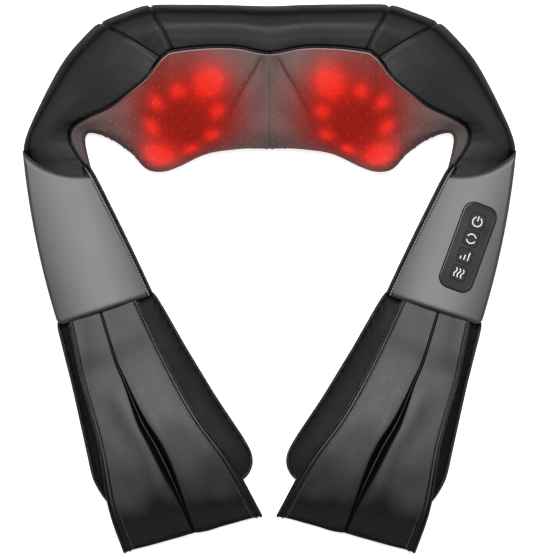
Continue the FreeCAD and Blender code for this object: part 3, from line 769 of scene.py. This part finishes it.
# %% Mesh fabric on both sides
mesh_thick = 1.4 * MM
for side, outward in hand_of.items():
    points = place_on_side(mesh_skin, side)
    # the weave lies flat: across by x, down by the run along the skin
    weave = np.stack([points[:, :, 0], -arc_lengths(points, 1)], axis=2)
    piece = make_shell(side + "_mesh", points, mesh_thick, mesh_fabric[side], outward, uv=weave)
    bend_with_arm(piece)
    if side == "left":
        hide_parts("mesh_panel")
print("the mesh is on both sides:", mesh_skin.shape[0], "by", mesh_skin.shape[1], "points each")

# %% Raised dots
dot_pitch_x, dot_pitch_y, dot_radius = 10.2 * MM, 14.2 * MM, 1.1 * MM
dot_sides, dot_rings = 8, ((1.0, -0.25), (0.88, 0.22), (0.5, 0.42))
dot_top, dot_foot = 0.48, -0.3
ring_count = dot_sides * len(dot_rings)


def add_dot(verts, faces, spot, top):
    """One round stud: three rings, a point on top and a point underneath."""
    side_way = np.cross(top, (0, 1, 0))
    side_way /= np.linalg.norm(side_way)
    other = np.cross(top, side_way)
    start, last = len(verts), len(verts) + ring_count - dot_sides
    for girth, height in dot_rings:
        for a in np.linspace(0, 2 * math.pi, dot_sides, endpoint=False):
            verts.append(spot + dot_radius * (
                girth * (math.cos(a) * side_way + math.sin(a) * other) + height * top))
    verts += [spot + dot_radius * dot_top * top, spot + dot_radius * dot_foot * top]
    faces += grid_faces(len(dot_rings), dot_sides, start, False, True)
    faces += fan_faces(last, dot_sides, start + ring_count)
    faces += fan_faces(start, dot_sides, start + ring_count + 1, True)


def scatter_dots(name, points, outward, material):
    """Small round studs in staggered rows over the face of the mesh."""
    normals = grid_normals(points) * outward
    run = arc_lengths(points, 1)
    # the dots stop where the mesh turns under the collar
    deep = run[:, int(points.shape[1] * 0.78)]
    tail_end, first_row, first_dot, margin = 137 * MM, 5 * MM, 2.5 * MM, 6 * MM
    verts, faces = [], []
    row, down = 0, first_row
    while down < deep.max():
        reaching = len(deep) if deep.min() > down else int(np.argmax(deep <= down))
        line, upright = (np.array([read_columns(down, run[r], grid[r])
                                   for r in range(max(reaching, 2))])
                         for grid in (points, normals))
        reach = np.abs(line[:, 0])
        shift = dot_pitch_x / 2 if row % 2 else 0.0
        for k in range(int((reach.max() - margin) / dot_pitch_x) + 1):
            want = k * dot_pitch_x + shift + first_dot
            if want > tail_end:
                break
            spot, top = (read_columns(want, reach, way) for way in (line, upright))
            add_dot(verts, faces, spot, top / np.linalg.norm(top))
        row += 1
        down += dot_pitch_y / 2
    return make_piece(name, verts, faces, material, np.array(verts)[:, :2])


for side, outward in hand_of.items():
    points = place_on_side(mesh_skin, side)
    dots = scatter_dots(side + "_mesh_dots", points, outward, dot_fabric[side])
    bend_with_arm(dots)
    print(side, "dots:", len(dots.data.vertices) // (ring_count + 2))

# %% [markdown]
# ### Piping round the mesh
#
# A thin covered cord is sewn between leather and mesh. It hides the seam and stiffens
# the edge. Its line is the seam column of the skin, lifted a little. Beside it runs a
# thin cord for the folded hem of the mesh; its light colour is a painted highlight
# along the piping.

# %% Piping and the hem of the mesh
piping_wide, piping_tall, piping_lift = 2.2 * MM, 2.4 * MM, 0.7 * MM
hem_thick, hem_lift = 1.1 * MM, 0.1 * MM
seam_rows = np.linspace(0, collar_end, 200)
seam_line = skin(leather_rings, seam_rows, np.array([0.0, 0.05]))[:, 0]
seam_line[:, 2] += piping_lift
hem_line = skin(mesh_rings, seam_rows, np.array([0.075, 0.18]))[:, 0]
hem_line[:, 2] += hem_lift
for side in hand_of:
    line = place_on_side(seam_line, side)
    piping = make_cord(side + "_mesh_piping", line, piping_wide, piping_tall, piping_leather)
    bend_with_arm(piping)
    if side == "left":
        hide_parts("mesh_piping")
    line = place_on_side(hem_line, side)
    # the hem cord carries the painted highlight beside the piping
    hem = make_cord(side + "_mesh_hem", line, hem_thick, hem_thick, hem_painted_highlight)
    bend_with_arm(hem)
print("piping runs", round(float(arc_lengths(seam_line[:, None], 0).max()), 3), "m a side")

# %% [markdown]
# ## The arms
#
# Below the collar each arm carries a hard grey casing. Everything on an arm is laid
# out from one corner of the casing, along two directions: u runs across the arm
# towards the neck, and v runs down the arm towards the hand. The left arm leans by 18
# degrees, and the right arm is its mirror image.

# %% Places on an arm
lean = math.radians(18)
arm_corner = np.array([-175.0, 119.0])
across_arm = np.array([math.cos(lean), math.sin(lean)])
down_arm = np.array([math.sin(lean), -math.cos(lean)])


def on_arm(u, v, z=0.0):
    """Points of the left arm in metres; u, v and z are in millimetres."""
    u, v, z = np.broadcast_arrays(np.asarray(u, float), v, z)
    plan = arm_corner + u[..., None] * across_arm + v[..., None] * down_arm
    return np.concatenate([plan, z[..., None]], axis=-1) * MM


def read_line(line, where):
    """First value of a guide line read at places of its second value."""
    line = np.asarray(line, float)
    dense = through(line, np.linspace(0, len(line) - 1, 240))
    order = np.argsort(dense[:, 1])
    return np.interp(where, dense[order, 1], dense[order, 0])


print("the casing corner is at", on_arm(0, 0)[:2])

# %% [markdown]
# ### Moulded casing
#
# The casing is moulded in a mid grey with a soft satin skin. The mould leaves a very
# fine grain, and hands polish it in wide soft patches. Like the leather, it gets
# painted shade where it turns away from the eye. The back half is darker. The inside
# parts of the working model get plain finishes of their own: steel, brass, nylon and
# board.


# %% Moulded plastics and metals
def make_moulded(name, color, shine, grain=0.3, coat=0.0, rim=(0.04, 0.4, 1.0)):
    """Satin plastic; rim says where its painted rim shade starts and stops, and down to what
    share.
    """
    finish = Finish(name, color, shine, Coat_Weight=coat, Coat_Roughness=0.12)
    place = finish.place("Object")
    fine = finish.noise(place, 3200.0, 3.0, 0.6)
    wide = finish.noise(place, 22.0, 3.0)
    # painted shade: the colour darkens toward the rims, down to the share rim[2]
    finish.paint_rim_shade(finish.colors(wide, color, 0.93, 1.07), *rim)
    finish.link(finish.to_rim(0.04, 0.4, 0.5, 0.5 * rim[2] ** 2), "Specular IOR Level")
    finish.shine_by(wide, shine, 0.05, 0.06)
    finish.raise_by(fine, 0.00006, grain)
    return finish.material


def make_metal(name, color, shine):
    finish = Finish(name, color, shine, Metallic=1.0)
    place = finish.place("Object")
    lines = finish.noise(place, 900.0, 2.0)
    finish.colors(lines, color, 0.8, 1.1)
    finish.shine_by(lines, shine, 0.06, 0.08)
    return finish.material


# the last numbers of casing_grey and panel_black set their painted rim shade; the rest get none
moulded = {
    "casing_grey": ((0.176, 0.176, 0.177), 0.6, 0.3, 0.0, (0.01, 0.2, 0.3)),
    "casing_dark": ((0.022, 0.022, 0.023), 0.5),
    "core_plastic": ((0.05, 0.05, 0.052), 0.55),
    "head_plastic": ((0.55, 0.07, 0.05), 0.4),
    "head_plate": ((0.62, 0.6, 0.58), 0.45),
    "panel_black": ((0.008, 0.008, 0.009), 0.3, 0.08, 0.15, (0.04, 0.4, 0.2)),
    "button_black": ((0.005, 0.005, 0.006), 0.6, 0.25),
    "nylon": ((0.72, 0.7, 0.64), 0.45),
    "board": ((0.02, 0.14, 0.05), 0.4),
    "foam": ((0.06, 0.06, 0.065), 0.9, 0.8),
}
metals = {"motor_steel": ((0.5, 0.5, 0.5), 0.3), "steel": ((0.62, 0.62, 0.63), 0.25),
          "brass": ((0.75, 0.55, 0.25), 0.3)}
slot_finish = {name: make_moulded(name, *values) for name, values in moulded.items()}
slot_finish |= {name: make_metal(name, *values) for name, values in metals.items()}
slot_finish |= {"leather_black": collar_leather, "mesh_fabric": mesh_fabric["left"],
                "piping": piping_leather}
slot_of = {part["node"]: part["material_slot"] for part in record["subparts"]}
for name, node in frame["nodes"].items():
    node.data.materials.clear()
    node.data.materials.append(slot_finish[slot_of[name]])
print(len(frame["nodes"]), "parts of the working model have a finish")

# %% [markdown]
# ### Edge band of the casing
#
# A narrow leather band wraps the inner edge of the casing, from its top face down to
# the padded back of the arm. It is finished with a cord on each side and a light
# thread between them. It starts at the collar and runs down to the hand.

# %% Edge band
casing_inner = [(14.0, 27.0), (17.9, 38.7), (22.3, 66.0), (26.4, 94.0), (30.1, 121.5),
                (33.4, 149.0)]
band_thick, band_cord = 0.7 * MM, 1.7 * MM
band_v = np.linspace(29, 147.5, 76)
band_u = read_line(casing_inner, band_v)
band_z = np.interp(band_v, [29, 38, 66, 94, 121, 149], [35.5, 40.6, 39.4, 37.6, 35.6, 33.2])


def make_band(side):
    """Band, two cords and a thread line beside one casing."""
    cross = [(-4.6, -1.6), (-3.6, 0.3), (-2.0, 0.9), (-0.3, 0.2), (1.2, -2.0), (1.7, -6.0)]
    rows = []
    for u, v, z in zip(band_u, band_v, band_z):
        top = [on_arm(u + du, v, z + dz) for du, dz in cross]
        foot = [on_arm(u + du, v, dz) for du, dz in ((1.9, 18.0), (1.6, 13.5), (0.4, 13.5))]
        rows.append(top + foot + [on_arm(u - 0.6, v, z - 6.5), on_arm(u - 3.4, v, z - 3.0)])
    guide = np.array(rows)
    closed = np.concatenate([guide[:, -1:], guide, guide[:, :2]], axis=1)
    ring = through(closed.transpose(1, 0, 2), np.linspace(1, guide.shape[1] + 1, 45)[:-1])
    points = place_on_side(ring.transpose(1, 0, 2), side)
    made = [make_shell(side + "_edge_band", points, band_thick, strap_leather, hand_of[side],
                       ring=True)]
    for du, dz, label in ((-4.2, 0.2, "outer"), (0.7, -0.3, "inner")):
        line = place_on_side(on_arm(band_u + du, band_v, band_z + dz), side)
        made.append(make_cord(f"{side}_band_cord_{label}", line, band_cord, band_cord,
                              piping_leather))
    line = place_on_side(on_arm(band_u - 1.8, band_v, band_z + 1.1), side)
    made.append(make_stitches(side + "_band_thread", line, (0, 0, 1), grey_thread,
                              pitch=2.6 * MM, length=1.7 * MM, thick=0.9 * MM))
    return made


for side in hand_of:
    for piece in make_band(side):
        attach(piece, side + "_arm")
        if piece.name.endswith("edge_band"):
            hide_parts(side + "_edge_binding")
print("edge bands are on both arms")

# %% [markdown]
# ### Cushions
#
# The back of each arm and the part behind the hand strap are flat cushions. Their
# shape is an outline with rounded corners, full in the middle and thin at the sewn
# edge. Rings of points run inward from the outline, over the top and under the back,
# so the cushion is closed. The bulge follows how foam fills a cover: steep near the
# edge, nearly level in the middle, with small puckers along the seam.


# %% A cushion from its outline
def round_outline(corners, count=240, smooth=5):
    """Closed outline through corners, evenly spaced and slightly smoothed."""
    corners = np.asarray(corners, float)
    line = np.concatenate([corners, corners[:1]])
    run = run_along(line)
    out = read_columns(np.linspace(0, run[-1], count + 1)[:-1], run, line)
    for _ in range(smooth):
        out = (np.roll(out, 1, axis=0) + 2 * out + np.roll(out, -1, axis=0)) / 4
    return out


def make_cushion(name, outline, side, material, low, high, seam, seed, pucker=0.5):
    """Closed cushion from height low to high, sewn at the height seam, in millimetres."""
    middle = outline.mean(axis=0)
    run = np.linalg.norm(np.roll(outline, -1, axis=0) - outline, axis=1).cumsum()
    wave = np.sin(run / 7.5 * 2 * math.pi) * 0.5 + np.sin(run / 11.3 * 2 * math.pi) * 0.5
    shares = [0.0, 0.012, 0.03, 0.055, 0.09, 0.14, 0.2, 0.27, 0.36, 0.46, 0.58, 0.7, 0.82, 0.93]

    def ring_at(share, top):
        plan = mix(outline, middle, share)
        full = 1 - (1 - min(1, share / 0.5)) ** 2.6
        edge = math.exp(-(share / 0.07) ** 2) if share > 0.004 else 0
        height = seam + ((high if top else low) - seam) * full + pucker * wave * edge
        return on_arm(plan[:, 0], plan[:, 1], height)

    rings = [ring_at(share, True) for share in shares[::-1]]
    rings += [ring_at(share, False) for share in shares[1:]]
    points = place_on_side(np.array(rings), side)
    rough = np.array([[noise.noise(Vector(p) / 0.024 + Vector((seed, 0, 0)))
                       for p in ring] for ring in points])
    points[:, :, 2] += rough * 0.8 * MM * np.abs(points[:, :, 2] - seam * MM) / (8 * MM)
    count, sides = points.shape[:2]
    verts = list(points.reshape(-1, 3)) + [points[0].mean(axis=0), points[-1].mean(axis=0)]
    flip = side == "right"
    faces = grid_faces(count, sides, 0, flip, True)
    faces += fan_faces(0, sides, count * sides, not flip)
    faces += fan_faces((count - 1) * sides, sides, count * sides + 1, flip)
    return make_piece(name, verts, faces, material, np.array(verts)[:, :2])


# %% Back of each arm
arm_pad_outline = round_outline([
    (-46.5, 150.5), (-44.0, 128.0), (-41.0, 104.0), (-37.5, 78.0), (-34.5, 52.0),
    (-31.5, 28.0), (-28.0, 8.0), (-20.0, 4.5), (-8.0, 17.0), (5.0, 27.0), (19.0, 35.0),
    (20.5, 41.0), (22.0, 58.0), (26.0, 88.0), (30.2, 118.0), (34.5, 150.5)], smooth=12)
for side in hand_of:
    pad = make_cushion(side + "_arm_back", arm_pad_outline, side, strap_leather,
                       low=3.5, high=18.5, seam=13.0, seed=4.0)
    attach(pad, side + "_arm")
    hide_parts(side + "_arm_pad")
print("arm backs are in")

# %% Cushion behind the hand strap
pad_seam, pad_cord = 14.0, 3.0 * MM
hinge_start, hinge_end = on_arm(0, 150, 24), on_arm(0, 168, 24)
pad_outer = [(-47.2, 144.0), (-47.7, 148.5), (-51.1, 199.4), (-55.5, 245.0), (-58.9, 278.4),
             (-55.6, 294.2), (-50.5, 306.0), (-40.0, 314.0)]
pad_inner = [(34.0, 144.0), (38.5, 162.9), (45.4, 196.7), (56.9, 245.6), (68.4, 286.1),
             (70.9, 299.5), (69.0, 307.3), (61.5, 315.4)]
pad_outline = round_outline(
    pad_outer + [(-25.0, 317.5), (0.0, 318.0), (25.0, 318.0), (46.0, 318.0)] + pad_inner[::-1]
    + [(20.0, 143.0), (0.0, 142.5), (-25.0, 143.0)], 300, 14)


def bend_at_hinge(piece):
    """Bake the piece's place into its points; it is not tied to the casing and does not turn."""
    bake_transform(piece)


for side in hand_of:
    pad = make_cushion(side + "_hand_pad", pad_outline[::-1], side, pad_leather,
                       low=6.2, high=20.5, seam=pad_seam, seed=6.0)
    bend_at_hinge(pad)
    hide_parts(side + "_lower_pad")
    ring = np.concatenate([pad_outline, pad_outline[:2]])
    line = place_on_side(on_arm(ring[:, 0], ring[:, 1], pad_seam), side)
    cord = make_cord(side + "_hand_pad_piping", line, pad_cord, pad_cord, piping_leather)
    bend_at_hinge(cord)
print("hand cushions are in")

# %% [markdown]
# ### Hand straps
#
# Each strap is one wide leather ply. It leaves the end of the casing, arches over the
# hand and folds back under the cushion. A pleat runs down its middle and opens a
# little where the strap is widest. The strap is built as a sheet that follows a line
# seen from the side, and the pleat is a narrow valley along the sheet. Each edge is
# finished with a cord, a finer cord and a row of dark stitches.

# %% Shape of the strap
strap_side_line = np.array([
    (149.0, 36.0), (158.0, 38.0), (175.0, 42.5), (200.0, 49.5), (235.0, 53.5), (268.0, 51.5),
    (296.0, 43.5), (320.0, 31.5), (338.0, 18.5), (346.5, 9.5), (345.0, 4.6), (336.0, 3.6),
    (318.0, 3.4), (298.0, 3.4), (278.0, 3.4)])
strap_outer = [(-37.2, 146.0), (-38.0, 152.7), (-42.4, 198.6), (-45.2, 252.4),
               (-53.7, 304.3), (-54.6, 344.4), (-54.6, 349.0)]
strap_inner = [(21.6, 146.0), (22.4, 157.6), (31.5, 218.4), (40.2, 258.0), (53.5, 298.0),
               (64.0, 347.8), (64.0, 350.0)]
pleat_line = [(-10.3, 146.0), (-10.3, 154.0), (-10.6, 191.0), (-8.5, 211.0), (-5.7, 244.0),
              (-0.5, 270.0), (3.9, 308.0), (6.1, 350.0)]
strap_rows = np.unique(np.concatenate([
    np.linspace(0, 9, 120), np.linspace(9, 14, 50), [0.02, 0.05, 13.93, 13.97]]))
strap_cols = np.unique(np.concatenate([
    np.linspace(-1, 1, 45), np.linspace(-0.2, 0.2, 41), [-0.995, -0.98, -0.95, -0.91],
    [0.91, 0.95, 0.98, 0.995]]))


def strap_grid():
    """Outer face of the left strap, with its pleat, crown, arch and sewn edges."""
    line = through(strap_side_line, strap_rows)
    ahead = np.gradient(line, axis=0)
    ahead /= np.linalg.norm(ahead, axis=1, keepdims=True)
    out = np.column_stack([-ahead[:, 1], ahead[:, 0]])
    points = []
    for (v, z), (nv, nz) in zip(line, out):
        outer, inner = read_line(strap_outer, v), read_line(strap_inner, v)
        seam = read_line(pleat_line, v)
        u = np.where(strap_cols < 0, mix(seam, outer, -strap_cols), mix(seam, inner, strap_cols))
        opening = 2.6 * bell(v - 272, 40) + 0.7
        deep = 1.6 + 5.4 * bell(v - 268, 52)
        valley = bell(u - seam, opening)
        crown = 2.2 * bell(np.abs(u - seam) - 9, 8) * bell(v - 262, 60)
        border = 1 - np.abs(strap_cols)
        edge, band = -1.3 * bell(border, 0.02), 0.55 * bell(border - 0.055, 0.035)
        arch = 3.2 * (1 - strap_cols**2) * bell(v - 250, 80)
        top = nz > 0.1
        lift = (crown + arch - valley * deep) * (1 if top else 0.15) + edge + band
        wrinkle = [noise.noise(Vector((uu * 0.045, v * 0.03, 2.0))) for uu in u]
        lift = lift + np.array(wrinkle) * (1.6 if top else 0.3)
        slant = 3.6 * strap_cols * np.clip((v - 290) / 50, 0, 1) ** 1.5
        points.append(on_arm(u, v + slant + nv * lift, np.maximum(z + nz * lift, 0.5)))
    return np.array(points)


strap_points = strap_grid()
print("the strap rises to", round(float(strap_points[:, :, 2].max()), 4), "m")


# %% Straps, cords and stitches
strap_thick, stitch_lift, cord_lift = 3.0 * MM, 0.2 * MM, 0.3 * MM
strap_cords = ((-0.985, "outer", 2.6 * MM), (0.985, "inner", 2.6 * MM),
               (-0.925, "outer_fine", 1.5 * MM), (0.925, "inner_fine", 1.5 * MM))


def column_line(points, share):
    """Line down the strap at one column share, and the way its face looks there."""
    at = int(np.argmin(np.abs(strap_cols - share)))
    return points[:, at], grid_normals(points)[:, at]


for side, outward in hand_of.items():
    points = place_on_side(strap_points, side)
    strap = make_shell(side + "_strap", points, strap_thick, strap_leather, outward)
    bend_at_hinge(strap)
    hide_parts(side + "_hand_strap", side + "_cuff")
    for share, label in ((-0.88, "outer"), (0.88, "inner")):
        line, normals = column_line(points, share)
        line = line + normals * outward * stitch_lift
        stitches = make_stitches(f"{side}_strap_stitches_{label}", line, normals * outward,
                                 dark_thread)
        bend_at_hinge(stitches)
    for share, label, thick in strap_cords:
        line, normals = column_line(points, share)
        line = line + normals * outward * cord_lift
        cord = make_cord(f"{side}_strap_cord_{label}", line, thick, thick, piping_leather,
                         up=(0.3, 0.2, 1))
        bend_at_hinge(cord)
print("straps are on")

# %% [markdown]
# ### Signs on the buttons
#
# Four buttons sit in a glossy black panel. Each has a plain white sign: power,
# direction, strength and heat. A sign is made of strokes: thin raised bands drawn in
# the button's own plane, which is tilted like the casing. Each sign rides its button,
# so it goes down when the button is pressed.

# %% The buttons' plane
white_ink = make_moulded("white_ink", (0.86, 0.86, 0.86), 0.5, 0.1)
button_spot = {}
for name in ("power_button", "direction_button", "intensity_button", "heat_button"):
    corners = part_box(name)
    button_spot[name] = Vector((corners[0] + corners[1]) / 2)
press = next(j for j in frame["joints"] if j["name"] == "power_press")
panel_up = -Vector(press["axis"]).normalized()
panel_long = (button_spot["power_button"] - button_spot["heat_button"]).normalized()
panel_wide = panel_long.cross(panel_up).normalized()
print("panel faces", [round(v, 3) for v in panel_up])


# %% Strokes
def stroke(points, wide=0.85):
    """Flat band along a line of (across, along) points in millimetres."""
    line = np.asarray(points, float)
    ahead = np.gradient(line, axis=0)
    ahead /= np.linalg.norm(ahead, axis=1, keepdims=True)
    out = np.column_stack([-ahead[:, 1], ahead[:, 0]]) * wide / 2
    return line + out, line - out


def arc_line(cy, radius, start, stop):
    """Points round a centre at height cy, between two angles in degrees."""
    turn = np.radians(np.linspace(start, stop, 28))
    return np.column_stack([radius * np.cos(turn), cy + radius * np.sin(turn)])


def make_sign(name, button, strokes):
    """A sign from strokes, standing a little above its button."""
    sunk, proud = 0.05 * MM, 0.12 * MM
    spot, corners = button_spot[button], frame["nodes"][button].data.vertices
    high = max((Vector(corner.co) - spot).dot(panel_up) for corner in corners)
    low, top = panel_up * (high - sunk), panel_up * (high + proud)
    verts, faces = [], []
    for left, right in strokes:
        faces += tube_faces(len(left), 4, len(verts))
        for one, other in zip(left, right):
            for (a, b), lift in ((one, low), (one, top), (other, top), (other, low)):
                verts.append(spot + (panel_wide * a + panel_long * b) * MM + lift)
    sign = make_piece(name, verts, faces, white_ink)
    sign.data.polygons.foreach_set("use_smooth", [False] * len(sign.data.polygons))
    return sign


# %% The four signs
wave = np.linspace(-3.7, 3.7, 60)
signs = {
    "power": [stroke(arc_line(-0.2, 3.9, 118, 422)), stroke([(0, 0.4), (0, 4.6)])],
    "direction": [stroke(arc_line(0, 3.8, 22, 158)), stroke(arc_line(0, 3.8, 202, 338))],
    "intensity": [stroke([(-3.2, -3.4), (-3.2, -1.0)]), stroke([(0.0, -3.4), (0.0, 0.9)]),
                  stroke([(3.2, -3.4), (3.2, 3.4)])],
    "heat": [stroke(np.column_stack([x + 0.8 * np.sin(wave * 0.9), wave]), 0.78)
             for x in (-3.0, 0.0, 3.0)],
}
for label, strokes in signs.items():
    sign = make_sign(label + "_sign", label + "_button", strokes)
    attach(sign, label + "_key")
print(len(signs), "signs")

# %% [markdown]
# ## Light, floor and camera
#
# The massager lies on a pale floor and is seen from straight above. One large soft
# light hangs over the collar side, so faces that lean that way shine and the others
# stay dark. Two weak lights fill the sides, and a low wash lifts the shadows. The
# floor gives a little light itself, so that hardly any shadow is left on it.

# %% Floor and lights
floor_finish = Finish("floor", (0.9, 0.9, 0.9), 0.9, Emission_Strength=0.8)
floor_finish.shader.inputs["Emission Color"].default_value = (1, 1, 1, 1)
floor_place = floor_finish.place("Object")
floor_finish.raise_by(floor_finish.noise(floor_place, 300.0, 2.0), 0.00005, 0.1)
bpy.ops.mesh.primitive_plane_add(size=6.0, location=(0, 0, -0.5 * MM))
floor = bpy.context.active_object
floor.name = "floor"
floor.data.materials.append(floor_finish.material)
stage_pieces = [floor]


def make_light(name, place, size, power):
    """A soft rectangular light that looks at the middle of the massager."""
    lamp = bpy.data.lights.new(name, "AREA")
    lamp.shape = "RECTANGLE"
    lamp.size, lamp.size_y = size
    lamp.energy = power
    light = bpy.data.objects.new(name, lamp)
    bpy.context.collection.objects.link(light)
    light.location = place
    light.rotation_euler = (-Vector(place)).to_track_quat("-Z", "Y").to_euler()
    stage_pieces.append(light)


make_light("light_top", (0.0, 0.42, 1.9), (0.8, 0.6), 40)
for side, hand in hand_of.items():
    make_light("light_" + side, (1.6 * hand, 0.2, 0.9), (0.3, 1.2), 1.5)

world = bpy.data.worlds.new("studio")
world.use_nodes = True
wash = world.node_tree.nodes["Background"].inputs
wash["Color"].default_value, wash["Strength"].default_value = (1, 1, 1, 1), 0.12
bpy.context.scene.world = world
bpy.context.scene.view_settings.view_transform = "Standard"
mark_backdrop(*stage_pieces)
print(len(stage_pieces), "stage pieces")

# %% Camera
camera_data = bpy.data.cameras.new("camera")
lens, sensor = 300, 36
camera_data.lens, camera_data.sensor_width = lens, sensor
camera = bpy.data.objects.new("camera", camera_data)
bpy.context.collection.objects.link(camera)
view_wide, in_focus = 0.4584, 0.045
camera.location = (-0.0012, 0.0008, in_focus + view_wide * lens / sensor)
bpy.context.scene.camera = camera
print("camera height", round(camera.location.z, 3), "m")

# %% [markdown]
# ## Sizes
#
# The sizes of the working model and of the finished model are printed side by side.
# The soft pieces must keep to the size of the working model.

# %% Sizes
soft_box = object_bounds()
for label, box in (("working model", cad_box), ("finished model", soft_box)):
    print(label, [round(float(v), 4) for v in box[0]], [round(float(v), 4) for v in box[1]])
